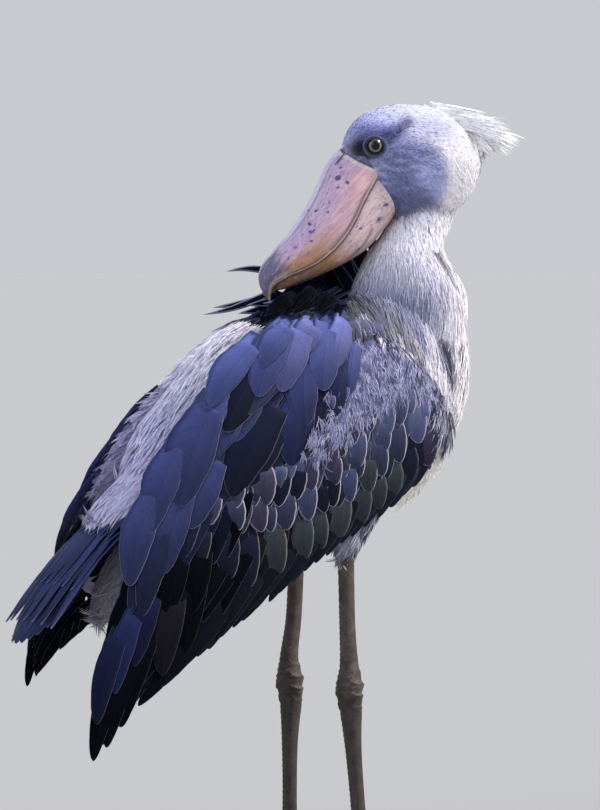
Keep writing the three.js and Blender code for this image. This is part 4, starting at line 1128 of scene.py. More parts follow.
# Feathers placed one by one, as the photo shows them: tip x and y on the wing, angle below its line, length, half
# width, how far they stand off it, colour, which carries painted light and shade as well as the feather's own tone, and
# rim
PLACED = {
    "scapulars": (
        (226, 248, 10, 122, 17, 11.0, "blue", 0.7),
        (175, 225, 18, 126, 21, 11.5, "blue", 0.7),
        (149, 213, 19, 108, 21, 12.0, "lilac", 0.9),
        (107, 182, 32, 101, 23, 11.0, "blue", 0.9),
        (71, 192, 24, 74, 17, 12.0, "lilac", 0.5),
        (89, 228, 16, 58, 17, 12.0, "lilac", 0.5),
        (144, 246, 8, 84, 15, 12.0, "blue", 0.5),
        (200, 216, 9, 116, 18, 9.0, "dusk", 0.9),
        (117, 148, 29, 110, 19, 9.0, "navy", 0.6),
        (83, 156, 33, 82, 14, 9.8, "blue", 0.4),
        (154, 161, 44, 100, 21, 8.6, "slate", 0.7),
        (236, 216, 15, 124, 25, 8.0, "black", 1.3),
        (200, 134, 36, 115, 26, 7.0, "navy", 0.8),
        (345, 182, 26, 159, 28, 8.2, "slate", 0.8),
        (286, 152, 20, 159, 29, 6.6, "black", 1.0),
        (183, 133, 24, 100, 12, 6.2, "black", 1.0),
        (260, 148, 19, 108, 21, 5.4, "black", 1.0),
        (353, 154, 25, 115, 25, 5.8, "slate", 0.9),
        (395, 180, 25, 146, 20, 7.0, "slate", 0.6),
        (416, 132, 31, 135, 22, 6.0, "slate", 0.5),
        (458, 146, 30, 147, 19, 6.4, "slate", 0.8),
        (470, 108, 30, 136, 17, 5.6, "deep", 0.6),
        (379, 130, 35, 89, 14, 4.6, "deep", 0.8),
    ),
    "medians": (
        (290, 137, 39, 50, 12, 5.0, "plum", 1.4),
        (329, 141, 32, 53, 11, 4.6, "dusk", 1.4),
        (303, 112, 56, 57, 15, 4.6, "dusk", 1.4),
        (278, 89, 60, 65, 15, 4.8, "plum", 1.4),
        (267, 80, 57, 48, 11, 4.3, "dusk", 1.2),
        (248, 68, 55, 66, 17, 5.0, "dusk", 1.4),
        (255, 114, 52, 65, 17, 6.4, "plum", 1.4),
        (243, 102, 38, 60, 14, 6.0, "black", 1.4),
        (215, 57, 57, 66, 15, 5.2, "grey_blue", 1.4),
        (218, 93, 44, 57, 14, 6.2, "black", 1.4),
        (177, 49, 61, 68, 15, 5.4, "black", 1.4),
        (190, 50, 67, 52, 12, 4.6, "black", 1.0),
        (153, 37, 61, 68, 14, 5.6, "grey_blue", 1.3),
        (194, 89, 59, 58, 15, 7.0, "plum", 1.4),
        (157, 90, 60, 56, 14, 7.8, "plum", 1.4),
        (162, 73, 60, 52, 14, 7.0, "plum", 1.3),
        (123, 29, 61, 64, 15, 5.3, "grey", 1.0),
        (128, 58, 65, 57, 14, 6.6, "dusk", 1.3),
        (121, 71, 57, 62, 14, 7.4, "grey_blue", 1.4),
        (98, 36, 66, 65, 15, 6.4, "dusk", 1.3),
        (81, 63, 61, 56, 15, 7.2, "grey_blue", 1.3),
        (68, 34, 62, 72, 15, 6.6, "dusk", 1.2),
        (86, 100, 47, 47, 11, 8.2, "dusk", 1.2),
        (66, 79, 55, 61, 15, 7.8, "pale_blue", 1.2),
        (46, 78, 47, 58, 14, 8.2, "grey_blue", 1.2),
        (32, 38, 59, 74, 17, 7.4, "pale_blue", 1.2),
        (24, 79, 55, 48, 12, 8.6, "pale_blue", 1.2),
        (18, 49, 57, 57, 14, 8.0, "pale_blue", 1.1),
        (30, -2, 61, 77, 18, 5.5, "plum", 1.0),
        (137, 99, 48, 48, 11, 8.0, "plum", 1.3),
        (157, 106, 58, 45, 12, 8.3, "plum", 1.3),
        (116, 102, 48, 47, 12, 8.4, "plum", 1.2),
    ),
    "greater": (
        (376, 107, 37, 72, 14, 3.4, "black", 1.0),
        (344, 67, 56, 89, 18, 3.4, "black", 1.0),
        (325, 38, 57, 91, 17, 3.0, "black", 1.1),
        (280, 23, 67, 88, 18, 3.2, "grey", 1.1),
        (239, 13, 66, 77, 17, 3.4, "grey", 0.9),
        (213, 8, 69, 70, 15, 3.0, "grey", 0.8),
        (182, 2, 62, 72, 19, 3.6, "grey", 0.8),
        (146, -3, 65, 66, 17, 3.4, "grey", 0.6),
        (117, -4, 70, 63, 17, 3.5, "grey", 0.5),
        (87, -3, 72, 60, 17, 3.7, "grey", 0.5),
        (60, -1, 71, 62, 17, 4.0, "black", 0.5),
        (39, 6, 64, 61, 17, 4.4, "black", 0.5),
    ),
    "flight": (
        (630, 6, 31, 200, 15, 3.2, "night", 0.5),
        (606, 8, 30, 182, 15, 3.6, "night", 0.5),
        (576, 16, 29, 170, 17, 4.0, "night", 0.5),
        (599, 40, 32, 164, 14, 4.6, "deep", 0.6),
        (558, 55, 32, 146, 15, 5.0, "navy", 0.6),
        (517, 66, 31, 125, 17, 5.2, "deep", 0.6),
        (492, 30, 39, 136, 21, 5.0, "brown", 0.7),
        (447, 31, 40, 126, 19, 3.4, "night", 0.4),
        (412, 68, 39, 106, 19, 4.0, "night", 0.4),
        (453, 79, 34, 125, 18, 4.6, "night", 0.4),
    ),
}


# How the placed feathers of each group look: the rim's colour, how much of it shows and how much wider it is, then
# the vane's rows, tip shape, dark core, slope of its light from edge to edge, and light at its root
STYLES = {
    "scapulars": (CREAM, 0.36, 1.0, 28, (0.42, 0.12), 0.4, 0.3, 1.4),
    "medians": (CREAM, 0.8, 1.2, 20, (0.55, 0.15), 0.5, 0.12, 1.15),
    "greater": (HORN_GREY, 0.6, 1.0, 20, (0.55, 0.15), 0.5, 0.12, 1.15),
    "flight": (HORN_GREY, 0.25, 1.0, 20, (0.55, 0.15), 0.5, 0.12, 1.15),
}


def wing_vane(pile, wing, tip, aim, length, half, raised, rows, shape, tint, pale, rim, core, slope, index, light=1.15):
    """One feather on the wing, from its tip on the wing's plane."""
    aim = math.radians(aim)
    lean = rng.normal(0, 0.6)
    sunk, rising = (-5, 0.2) if length > 70 and light > 1.2 else (-8, 0.35)

    def place(back, off, deep, u, v):
        bow = 0.05 * length * u * (1 - u) * 4
        x = tip[0] - back * math.cos(aim) + (bow + off) * math.sin(aim)
        y = tip[1] + back * math.sin(aim) + (bow + off) * math.cos(aim)
        lift = mix(sunk, raised, np.minimum(u / rising, 1)) - 1.3 * v - 0.5 * v * v - 0.6 * u**3 + lean * v * u
        point = wing_point(wing, x, y, wing_height(x, y) + lift + deep)
        return over_body(point, WINGS[wing][0], mix(-9, 3 + 0.3 * raised * u, smooth(u, 0, 0.3)) + deep)

    vane(pile, place, length, half, rows, *shape, tint, pale, rim, index, rng.random() * 7, core, light, slope)


def clear_of_bill(wing, x, y):
    """The far wing leaves out the feathers high on the back, where the bill rests."""
    return wing == "right" or y < 205 or x < 70


def wing_row(pile, wing, row, index):
    for i, tip in enumerate(along_line(row["line"], row["count"])):
        share = i / (row["count"] - 1)
        aim = mix(*row["aim"], share) + rng.normal(0, 2.4)
        length = mix(*row["length"], share) * rng.uniform(0.94, 1.08)
        half = row["half"] * rng.uniform(0.93, 1.07)
        tip = tip + rng.normal(0, 2.0, 2)
        raised = row["lift"] + rng.normal(0, 0.5)
        tint = mix(*row["tint"], share) * rng.normal(1, 0.1)
        pale = mix(tint, CREAM, 0.75) if row["rim"] >= 1 else mix(tint, LAVENDER, 0.5)
        rim = row["rim"] * rng.uniform(0.7, 1.2)
        if clear_of_bill(wing, *tip):
            wing_vane(pile, wing, tip, aim, length, half, raised, row["rows"], row["tip"], tint, pale, rim, 0.4, 0.0,
                      index + i)
    return index + row["count"]


def wing_placed(pile, wing, name, index):
    edge, edge_share, wider, rows, shape, core, slope, light = STYLES[name]
    for i, (x, y, aim, length, half, raised, shade_name, rim) in enumerate(PLACED[name]):
        tint = SHADES[shade_name] * rng.normal(1, 0.05)
        if clear_of_bill(wing, x, y):
            wing_vane(pile, wing, (x, y), aim, length, half, raised, rows, shape, tint, mix(tint, edge, edge_share),
                      rim * wider, core, slope, index + i, light)
    return index + len(PLACED[name])


def make_wing(wing, groups, materials):
    for name, (rows, placed, key) in groups.items():
        pile = Pile()
        index = 0
        for row in rows:
            index = wing_row(pile, wing, ROWS[row], index)
        for part in placed:
            index = wing_placed(pile, wing, part, index)
        finish_piece(pile.build(name + "_" + wing, materials[key]), "slate_feathers", "wing_" + wing)


# The shoulder's patch of small soft feathers, and the lines along which the wing's pale fringe and the neck's
# plumes grow, on the wing
SOFT_EDGE = np.array([
    (89, 164), (56, 190), (26, 196), (-1, 178), (-19, 150), (-34, 110), (-34, 74), (-16, 58), (-8, 84), (6, 104),
    (29, 106), (45, 114), (65, 118), (91, 116), (116, 120), (141, 120), (163, 118), (184, 128), (156, 144), (125, 152),
], float)
FRINGE = [(-14, 40), (-8, 24), (5, 4), (20, -8), (38, -14), (60, -18), (84, -17)]
PLUMES = [(4, 206), (-6, 180), (-26, 152), (-38, 124), (-44, 96), (-44, 56)]
# Rows of plumes: how far back, how many and how long
PLUME_ROWS = ((2, 34, 26), (11, 36, 34), (21, 36, 42), (32, 36, 48), (44, 36, 52), (57, 34, 54))
PLUME_BACK, PLUME_DOWN = np.array([-0.6, 0.8]), np.array([0.6, -0.8])


def inside(points, corners):
    """Which points lie inside a polygon."""
    x, y = points[:, 0, None], points[:, 1, None]
    a, b = corners, np.roll(corners, -1, 0)
    cross = (a[:, 1] > y) != (b[:, 1] > y)
    at = a[:, 0] + (y - a[:, 1]) * (b[:, 0] - a[:, 0]) / (b[:, 1] - a[:, 1] + 1e-9)
    return (cross & (x < at)).sum(1) % 2 == 1


def wing_frame(wing, spots, raised, aim):
    """Points on the wing, with the way out and the way a feather lies there."""
    def at(x, y):
        return over_body(wing_point(wing, x, y, wing_height(x, y) + raised), WINGS[wing][0], raised)

    x, y = spots[:, 0], spots[:, 1]
    here = at(x, y)
    along, across = unit(at(x + 1, y) - here), unit(at(x, y + 1) - here)
    out = unit(np.cross(along, across))
    out = out * np.sign(out[:, 1] * WINGS[wing][0])[:, None]
    way = unit(along * np.cos(aim)[:, None] - across * np.sin(aim)[:, None])
    way = unit(way - (way * out).sum(1)[:, None] * out)
    return here, out, way


def soft_spots(spacing):
    """Places about spacing apart on the shoulder's soft patch, with a ragged edge."""
    spots = rng.uniform((-40, 50), (190, 200), (6000, 2))
    cell = np.floor(spots / spacing).astype(int)
    spots = spots[np.unique(cell[:, 0] * 1000 + cell[:, 1], return_index=True)[1]]
    return spots[inside(spots + rng.normal(0, 4, spots.shape), SOFT_EDGE)]


def shoulder_vanes(pile, wing):
    spots = soft_spots(9.6)
    for index, spot in enumerate(spots[(spots[:, 0] < 112) & (spots[:, 1] < 165)]):
        aim = mix(64, 44, np.clip(spot[0] / 180, 0, 1)) + rng.normal(0, 16)
        tint = mix(linear((84, 86, 124)), linear((126, 126, 168)), rng.random() ** 1.2)
        raised = 5.6 + 0.012 * spot[1] + 1.6 * rng.random()
        length, half = 32 * rng.uniform(0.7, 1.15), 8.2 * rng.uniform(0.7, 1.15)
        wing_vane(pile, wing, spot, aim, length, half, raised, 14, (0.5, 0.3), tint * 0.8, linear((118, 118, 156)),
                  1.2, 0.35, 0.1, index)


def shoulder_tufts(pile, wing):
    spots = soft_spots(5.6)
    aim = np.radians(mix(62, 42, np.clip(spots[:, 0] / 180, 0, 1)) + rng.normal(0, 12, len(spots)))
    roots, outs, ways = wing_frame(wing, spots, 7.0, aim)
    tint = spread(linear((148, 147, 186)), roots)
    tint = layer(tint, linear((72, 73, 108)), 0.85 * smooth(ripple(roots, 15, 7), 0.1, 0.6))
    tint = layer(tint, linear((206, 203, 226)), 0.5 * smooth(ripple(roots, 13, 8), 0.2, 0.7))
    uv = np.stack([(spots[:, 0] + 50) / 280, (spots[:, 1] - 20) / 220], -1)
    tufts(pile, roots, outs, ways, uv, tint, ribbons=9, length=14, half=0.75, fan=0.28, roll=0.4, root=2.6, base=1.0,
          lift=0.18, curve=120, vary=0.06, root_shade=0.85, gather=0.8)


def fringe(pile, wing):
    """The pale fluff that shows below the wing's front edge."""
    spots = along_line(FRINGE, 42)
    spots = spots + rng.normal(0, 2.0, spots.shape)
    roots, outs, ways = wing_frame(wing, spots, 1.0, np.radians(rng.normal(62, 10, len(spots))))
    uv = np.stack([(spots[:, 0] + 50) / 280, (spots[:, 1] + 60) / 400], -1)
    tufts(pile, roots, outs, ways, uv, spread(linear((252, 246, 238)), roots), ribbons=14, length=14, half=1.3,
          fan=0.3, roll=0.4, root=2.4, base=0.0, lift=0.1, curve=120, vary=0.06, root_shade=0.85, gather=0.5)


def plume_row(pile, wing, back, count, length):
    """A row of the neck's plumes, which start on the body and hang over the wing's front."""
    side = WINGS[wing][0]
    spots = along_line(PLUMES, count) + rng.normal(0, 2.4, (count, 2)) + PLUME_BACK * back
    place = wing_point(wing, spots[:, 0], spots[:, 1], np.zeros(count))
    onto = wing_height(spots[:, 0], spots[:, 1]) + 4
    body = body_side(place[:, 0], place[:, 2])
    place[:, 1] = side * mix(np.maximum(onto, body + 3), body + 1, smooth(back, 5, 50))
    low = spots + PLUME_DOWN * length * 0.9 + rng.normal(0, 2.5, (count, 2))
    tips = wing_point(wing, low[:, 0], low[:, 1], np.zeros(count))
    tips[:, 1] = side * np.maximum(wing_height(low[:, 0], low[:, 1]) + 7, body_side(tips[:, 0], tips[:, 2]) + 5)
    seen = (photo_across(place[:, 0], -side * place[:, 1]) > 62) & (body > 35)
    roots, ways, spots = place[seen], unit(tips - place)[seen], spots[seen]
    outs = np.array([0, side, 0.0]) - ways * (side * ways[:, 1:2])
    # Painted shade: greyer near the wing, and near-black gaps between the locks, more of them towards the rear
    near_wing = smooth(spots[:, 0], -44 + 0.5 * back, -20 + 0.5 * back)
    tint = layer(spread(linear((232, 226, 232)), roots), linear((168, 168, 192)), near_wing)
    lock = ripple(roots * np.array([1, 1, 0.25]), 13, 9)
    rear = 0.8 * smooth(120 - roots[:, 0], 0, 40)
    dark = 0.9 * smooth(lock, 0.1 - rear, 0.4 - rear) * mix(0.45 + rear / 2, 1, near_wing)
    tint = layer(tint, linear((24, 26, 40)), dark)
    tint = layer(tint, markings_and_shade(roots), np.full(len(roots), float(smooth(back, 15, 50))))
    uv = np.stack([(spots[:, 0] + 110) / 340, (spots[:, 1] - 20) / 290], -1)
    tufts(pile, roots, unit(outs), ways, uv, tint, ribbons=15, length=length, half=0.75, fan=0.07, roll=0.35, root=3.4,
          base=0.0, lift=0.15, curve=260, vary=0.05, root_shade=0.85, gather=0.85)


def make_soft(wing, down, vane_look):
    """The small soft coverts of the shoulder, the fringe, and the neck's plumes that hang over the wing's front."""
    vanes, soft = Pile(), Pile()
    shoulder_vanes(vanes, wing)
    finish_piece(vanes.build("shoulder_vanes_" + wing, vane_look), "slate_feathers", "wing_" + wing)
    shoulder_tufts(soft, wing)
    fringe(soft, wing)
    for row in PLUME_ROWS:
        plume_row(soft, wing, *row)
    finish_piece(soft.build("shoulder_down_" + wing, down), "plumage", "wing_" + wing)


def free_vane(pile, root, tip, facing, bend, half, rows, sharp, tint, pale, rim, index):
    """A vane in the air from root to tip that bends towards the way it faces, or away from it."""
    length = np.linalg.norm(tip - root)
    way = (tip - root) / length
    side = unit(np.cross(facing, way))
    out = np.cross(way, side)

    def place(back, off, deep, u, v):
        arc = bend * 4 * u * (1 - u)
        lift = (deep - 0.8 * v * v)[..., None] * out
        return root + (length - back)[..., None] * way + (off + arc)[..., None] * side + lift

    vane(pile, place, length, half, rows, 0.35, sharp, tint, pale, rim, index, index * 1.7)


# Quills behind the bill's tip: the tip and the root as the photo shows them, depth and half width
QUILLS = (
    ((226, 272), (296, 284), 92, 5.5), ((203, 315), (290, 280), 96, 5.5), ((213, 308), (292, 292), 99, 6),
    ((238, 314), (296, 298), 90, 7), ((246, 306), (300, 300), 84, 7), ((250, 318), (304, 312), 80, 8),
)
# The way the ruffled feathers face, and the line on the near wing where dark ones, painted shade, cover the scapulars'
# roots
FACING = np.array([-0.5, -0.86, 0.1])
ROOT_LINE = [(96, 280), (74, 272), (52, 261), (34, 248), (14, 234)]


def standing(pile, share, deep, index):
    """One of the feathers that stand up under the bill, on the side away from the photo."""
    wander = rng.normal(0, 1, 4)
    top = seen_at(mix(272, 378, share) + 3 * wander[0], mix(293, 240, share) + 3 * wander[1],
                  106 - 10 * deep + 5 * wander[2])
    low = seen_at(mix(300, 400, share) + 4 * wander[3], mix(340, 330, share), 92 - 12 * deep)
    # Near black: painted shade under the bill
    tint = mix(NAVY, BLACK, rng.uniform(0.2, 0.9))
    way = FACING + np.array([0.25, 0, 0]) * wander[0]
    free_vane(pile, low, top, way, -6 * wander[1], 15 + 2 * wander[2], 18, 0.5, tint, mix(tint, LAVENDER, 0.2), 0.7,
              index)


def ridge_point(x, y, up):
    """A point on the torso's back, or that far above it."""
    st = torso_form.stations.where(np.array(x))
    return np.array([x, y, st[2] + st[3] * (1 - abs(y / st[5]) ** 2.27) ** 0.44 + up])


def spine_feather(pile, row, column, index):
    x, y = 56 - 26 * row + rng.normal(0, 4), -44 + 17 * column + rng.normal(0, 3)
    # Near black: painted shade along the spine
    tint = mix(NAVY, BLACK, rng.uniform(0.2, 0.8))
    free_vane(pile, ridge_point(x, y, -4), ridge_point(x - 56, y * 1.1, 7), UP, rng.normal(0, 3), 12, 16, 0.5, tint,
              mix(tint, LAVENDER, 0.3), 0.6, index)


def root_feather(pile, tip, index):
    """A near-black feather, painted shade, that lies over the roots of the near wing's scapulars."""
    aim, half = rng.uniform(-16, 0), rng.uniform(4.5, 7)
    length = rng.uniform(46, 66) * (1 - 0.55 * smooth(48 - tip[0], 0, 40))
    wing_vane(pile, "right", tip + rng.normal(0, 4, 2), aim, length, half, rng.uniform(7, 11), 16, (0.3, 0.7),
              BLACK * 0.5, NAVY, 0.5, 0.2, 0.1, index, 1.0)


def ruffled(material):
    """Feathers that the bill has ruffled: some stand up under it, some lie along the spine and the scapulars' roots.
    Their near-black tints are painted shade, for the deep shade there.
    """
    pile = Pile()
    index = 0
    for tip, root, y, half in QUILLS:
        free_vane(pile, seen_at(*root, y), seen_at(*tip, y), FACING, rng.normal(0, 4), half, 20, 1.0, NAVY * 0.45,
                  CREAM, 1.7, index)
        index += 1
    for deep in range(4):
        for k in range(11):
            standing(pile, (k + 0.5 * (deep % 2)) / 10.5, deep, index)
            index += 1
    for column in range(6):
        for row in range(6):
            spine_feather(pile, row, column, index)
            index += 1
    for tip in along_line(ROOT_LINE, 16):
        root_feather(pile, tip, index)
        index += 1
    for k in range(4):
        tip, root = seen_at(263 + 5 * k, 303 - 1.5 * k, 20 + 6 * k), seen_at(318 + 3 * k, 316, 10)
        free_vane(pile, root, tip, FACING, -3, 7, 16, 0.8, SHADES["lilac"] * 0.8, LAVENDER, 0.6, index)
        index += 1
    finish_piece(pile.build("ruffled_feathers", material), "slate_feathers", "wing_left")


# Coverts on the tail: how far back their tips lie, how wide they spread, how many, length, half width and height
TAIL_COVERTS = ((206, 62, 7, 190, 13, 3), (150, 54, 7, 140, 12, 6), (70, 44, 7, 80, 10, 8))


def tail_feather(pile, i):
    k = i - (TAIL["count"] - 1) / 2
    length = TAIL["length"] - TAIL["fall"] * k * k

    def place(back, off, deep, u, v):
        down = -abs(k) * TAIL["step"] * (0.4 + 0.6 * u) - np.sign(k) * v * 1.2 * u - 1.2 * v * v
        y = k * mix(TAIL["root_spread"], TAIL["tip_spread"], u) + off
        return tail_point(mix(20, length, u), down + deep, y)

    tint = mix(linear((52, 60, 98)), linear((34, 40, 68)), abs(k) / 6) * rng.uniform(0.85, 1.15)
    vane(pile, place, length - 20, TAIL["half"], 24, 0.7, 0.4, tint, mix(tint, LAVENDER, 0.5), 0.5, i, rng.random() * 7)


def tail_covert(pile, q, far, spread_y, length, half, up, index):
    def place(back, off, deep, u, v):
        height = mix(-8, up, np.minimum(u / 0.4, 1)) - 9 * q * q - 1.5 * v * v + deep
        return tail_point(far - back, height, q * spread_y * (0.6 + 0.4 * u) + off)

    tint = linear((54, 62, 104)) * rng.uniform(0.7, 1.25)
    vane(pile, place, length, half, 14, 0.45, 0.6, tint, mix(tint, LAVENDER, 0.65), 0.8, index, rng.random() * 7)


def make_tail(material):
    pile = Pile()
    for i in range(TAIL["count"]):
        tail_feather(pile, i)
    for row, (far, spread_y, count, *sizes) in enumerate(TAIL_COVERTS):
        for i in range(count):
            q = (i / (count - 1) - 0.5) * 2
            tail_covert(pile, q, far, spread_y, *sizes, TAIL["count"] + row * 9 + i)
    finish_piece(pile.build("tail_feathers", material), "tail_feathers", "tail")


# Bill
def bill_rings(steps):
    t = np.linspace(0, 1, steps + 1)
    return mix(BILL_EDGE[0][0], BILL_EDGE[-1][0], 1 - (1 - t) ** 1.15)


HORN = {
    "pink": (230, 184, 190), "straw": (192, 138, 86), "cream": (230, 218, 206), "lilac": (200, 186, 216),
    "gold": (196, 140, 70), "dark": (44, 34, 42), "mauve": (206, 178, 212), "ridge": (222, 216, 236),
    "rim": (220, 190, 160), "nail": (94, 98, 128), "bare": (106, 100, 142), "bare_edge": (52, 48, 68),
    "gape": (60, 44, 50), "blush": (240, 208, 206), "brown": (150, 126, 112), "rose": (206, 158, 150),
    "keel": (84, 64, 64), "crease": (112, 78, 60), "mouth": (120, 84, 84),
}
HORN = {name: linear(colour) for name, colour in HORN.items()}
# Dark blotches on each half: how far along, height, and radii
BLOTCHES = (
    (21, 42, 5, 4), (18, 30, 4, 3), (30, 34, 3, 3), (94, 16, 6, 4), (88, 24, 3, 2), (123, 16, 6, 3), (117, 1, 6, 3),
    (104, 8, 3, 2), (52, 28, 3, 2), (62, 20, 3, 2), (70, 30, 3, 2), (140, 12, 4, 2), (174, 25, 4, 3), (8, 48, 3, 2),
)
LOW_BLOTCHES = ((0, -27, 5, 4), (20, -33, 8, 3), (34, -32, 3, 2), (8, -20, 3, 2), (-4, -16, 3, 3), (48, -24, 4, 2))
# Where the bare skin of the face ends on the upper half: height, and how far along
FACE_EDGE = ((8, 23, 40, 57, 70), (-26, -18.6, -12.6, -10.6, -10))
# How far up the upper half's side its grooves lie, from 0 at the cutting edge to 1 on the ridge
EDGE_GROOVE, RIDGE_GROOVE = 0.055, 0.8


def bell(x, middle, width):
    return np.exp(-(((x - middle) / width) ** 2))


def past_face(along, height):
    """How far in front of the face's bare skin."""
    return along - np.interp(height, *FACE_EDGE)


def blotched(spots, along, height, blotches, dark):
    for x, h, a, b in blotches:
        spots = np.maximum(spots, dark * np.exp(-(((along - x) / a) ** 2) - ((height - h) / b) ** 2))
    return spots


def upper_horn(along, height, share):
    """The upper half's colour and blotches from how far along it is and its share of the way up the side."""
    def tint(name, amount):
        nonlocal colour
        colour = layer(colour, HORN[name], amount)

    colour = np.broadcast_to(HORN["pink"], (len(along), 3))
    tint("straw", 0.85 * smooth(along, 55, 125) * smooth(0.5 - share, 0, 0.3))
    tint("mauve", 0.7 * smooth(share, 0.2, 0.45) * smooth(0.7 - share, 0, 0.2))
    tint("lilac", 0.85 * smooth(share, 0.5, 0.72))
    tint("ridge", 0.85 * smooth(share, 0.82, 0.88))
    tint("dark", 0.7 * bell(share, 0.79, 0.014) * (1 - smooth(along, 90, 130)))
    tint("rim", 0.3 * (1 - smooth(share, 0.04, 0.06)))
    tint("dark", 0.85 * bell(share, EDGE_GROOVE, 0.012) * smooth(along, -20, 10))
    tint("dark", 0.9 * (1 - smooth(share, 0.0, 0.03)))
    grain = np.sin(height * 0.9 + along * 0.2) + 0.6 * np.sin(height * 2.3 - along * 0.5)
    nail = smooth(along + 10 * share + 4 * grain, 140, 164) * smooth(share, 0.02, 0.12)
    tint("nail", 0.9 * nail)
    tint("cream", smooth(share, 0.8, 0.95) * smooth(along, 128, 150))
    tint("cream", 0.5 * nail * (1 - smooth(share, 0.1, 0.2)))
    past = past_face(along, height)
    tint("cream", 0.85 * bell(past, 3.2, 2.4) * (1 - smooth(share, 0.8, 0.95)))
    low = smooth(0.92 - share, 0, 0.06)
    tint("bare", low * (1 - smooth(past, -0.8, 0.8)))
    tint("bare_edge", 0.8 * low * bell(past, -0.6, 1.3))
    above = height - bill_edge.where(along)[..., 1]
    tint("gape", 0.8 * np.exp(-(((along + 24) / 6) ** 2) - above**2 / 30))
    spots = blotched(0.1 + 0.3 * bell(share, 0.55, 0.2), along, height, BLOTCHES, 1.1)
    return colour, spots * smooth(share, 0.1, 0.16) * (1 - 0.5 * smooth(share, 0.82, 0.9)) * smooth(past, 2, 6)


def lower_horn(along, height, share):
    def tint(name, amount):
        nonlocal colour
        colour = layer(colour, HORN[name], amount)

    colour = np.broadcast_to(HORN["gold"], (len(along), 3))
    tint("blush", smooth(0.75 - share, -0.1, 0.25) * (1 - smooth(along, 50, 120)))
    tint("brown", smooth(along, 90, 140) * 0.8)
    tint("dark", 0.85 * (1 - smooth(share, 0.0, 0.05)))
    tint("rose", 0.6 * smooth(share, 0.5, 0.8) * (1 - smooth(along, 60, 110)))
    tint("keel", 0.5 * smooth(share, 0.9, 1.0))
    tint("crease", 0.7 * stroke(along, share * 60, (36, 24), (84, 34), 2.2))
    return colour, blotched(np.full(len(along), 0.25), along, height, LOW_BLOTCHES, 0.95)


# Rings along a half of the bill, and points up each of its sides and across its flat
BILL_STEPS, SIDE_POINTS, FLAT_POINTS = 220, 41, 6
BILL_GAP = 0.15


def make_bill(upper, material):
    which = "upper" if upper else "lower"
    stations = upper_bill if upper else lower_bill
    section = Stations(UPPER_SECTION if upper else LOWER_SECTION)
    up = np.linspace(0, 1, SIDE_POINTS)
    share = np.concatenate([up, up[::-1][1:], np.full(FLAT_POINTS, -1.0)])
    side = np.concatenate([np.ones(len(up)), -np.ones(len(up) - 1), np.linspace(-0.9, 0.9, FLAT_POINTS)])
    aa, ss = np.meshgrid(bill_rings(BILL_STEPS), share, indexing="ij")
    st = stations.where(aa)
    edge = bill_edge.where(aa)[..., 1]
    flat = ss < 0
    rise = np.clip(ss, 0, 1)
    out = section.at(rise)
    width = np.where(flat, side, out[..., 0] * side) * st[..., 2]
    gap = BILL_GAP if upper else -BILL_GAP
    height = edge + gap + (st[..., 1] - edge) * np.where(flat, 0, out[..., 1])
    if upper:
        groove = bell(ss, EDGE_GROOVE, 0.014) * smooth(aa, -20, 15) * (1 - smooth(aa, 150, 175))
        groove = groove + 0.9 * bell(ss, RIDGE_GROOVE, 0.02) * (1 - smooth(aa, 110, 150))
        lip = bell(past_face(aa, height), 3, 2.6) * smooth(ss, 0.02, 0.1)
        width = width + side * (0.9 * lip - 0.9 * groove) * ~flat
        height = height - 0.8 * rise * bell(aa - 8 * (1 - rise), 150, 1.6) * ~flat
    paint = upper_horn if upper else lower_horn
    colour, spots = paint(aa.ravel(), height.ravel(), rise.ravel())
    colour = np.where(flat.ravel()[:, None], HORN["mouth"], colour)
    tint = np.hstack([np.clip(colour, 0, 1), spots[:, None]])
    pile = Pile()
    pile.add(bill_point(aa, height, width), grid_faces(BILL_STEPS + 1, len(share), True), tint=tint,
             horn=np.stack([aa, height, width], -1).reshape(-1, 3))
    obj = pile.build("bill_horn_" + which, material)
    if upper:
        make_nostrils(material)
    finish_piece(obj, "bill", "bill_" + which)


NOSTRIL = {"length": 22, "radius": 0.8, "along": -1, "height": 55.6, "side": 16.2, "slope": -0.1}


def make_nostrils(material):
    slits = Pile()
    for side in (RIGHT, LEFT):
        def place(t, c, s):
            far = (t - 0.5) * NOSTRIL["length"]
            r = NOSTRIL["radius"] * np.sqrt(np.maximum(1 - (2 * t - 1) ** 2, 0.0)) + 0.05
            along = NOSTRIL["along"] + far * math.cos(NOSTRIL["slope"])
            height = NOSTRIL["height"] + far * math.sin(NOSTRIL["slope"]) + c * r
            return bill_point(along, height, side * (NOSTRIL["side"] + s * r * 2.2))

        # The slits are near black: painted shade inside the nostrils
        slits.add(*tube(place, 16, 14), tint=np.array([0.006, 0.005, 0.007, 1.0]), horn=np.zeros(3))
    finish_piece(slits.build("nostrils", material), "bill")


# Eyes and lids
# Each fold of the lids: radius, thickness, how far out, droop over the eye, and colour
LID_FOLDS = (
    (10.3, 1.2, 8.9, 3.9, (26, 25, 29)), (12.3, 1.4, 7.6, 2.9, (58, 57, 70)), (14.4, 1.6, 5.8, 1.9, (94, 95, 126)),
)
LID_STEPS, LID_SIDES = 72, 14


def face_ring(centre, out, far, turn, deep, flat=1.0):
    """Points round the eye's middle line, deep along it."""
    ahead, up = far * np.cos(turn), far * np.sin(turn) * flat
    return centre + out * deep[..., None] + head_forward * ahead[..., None] + UP * up[..., None]


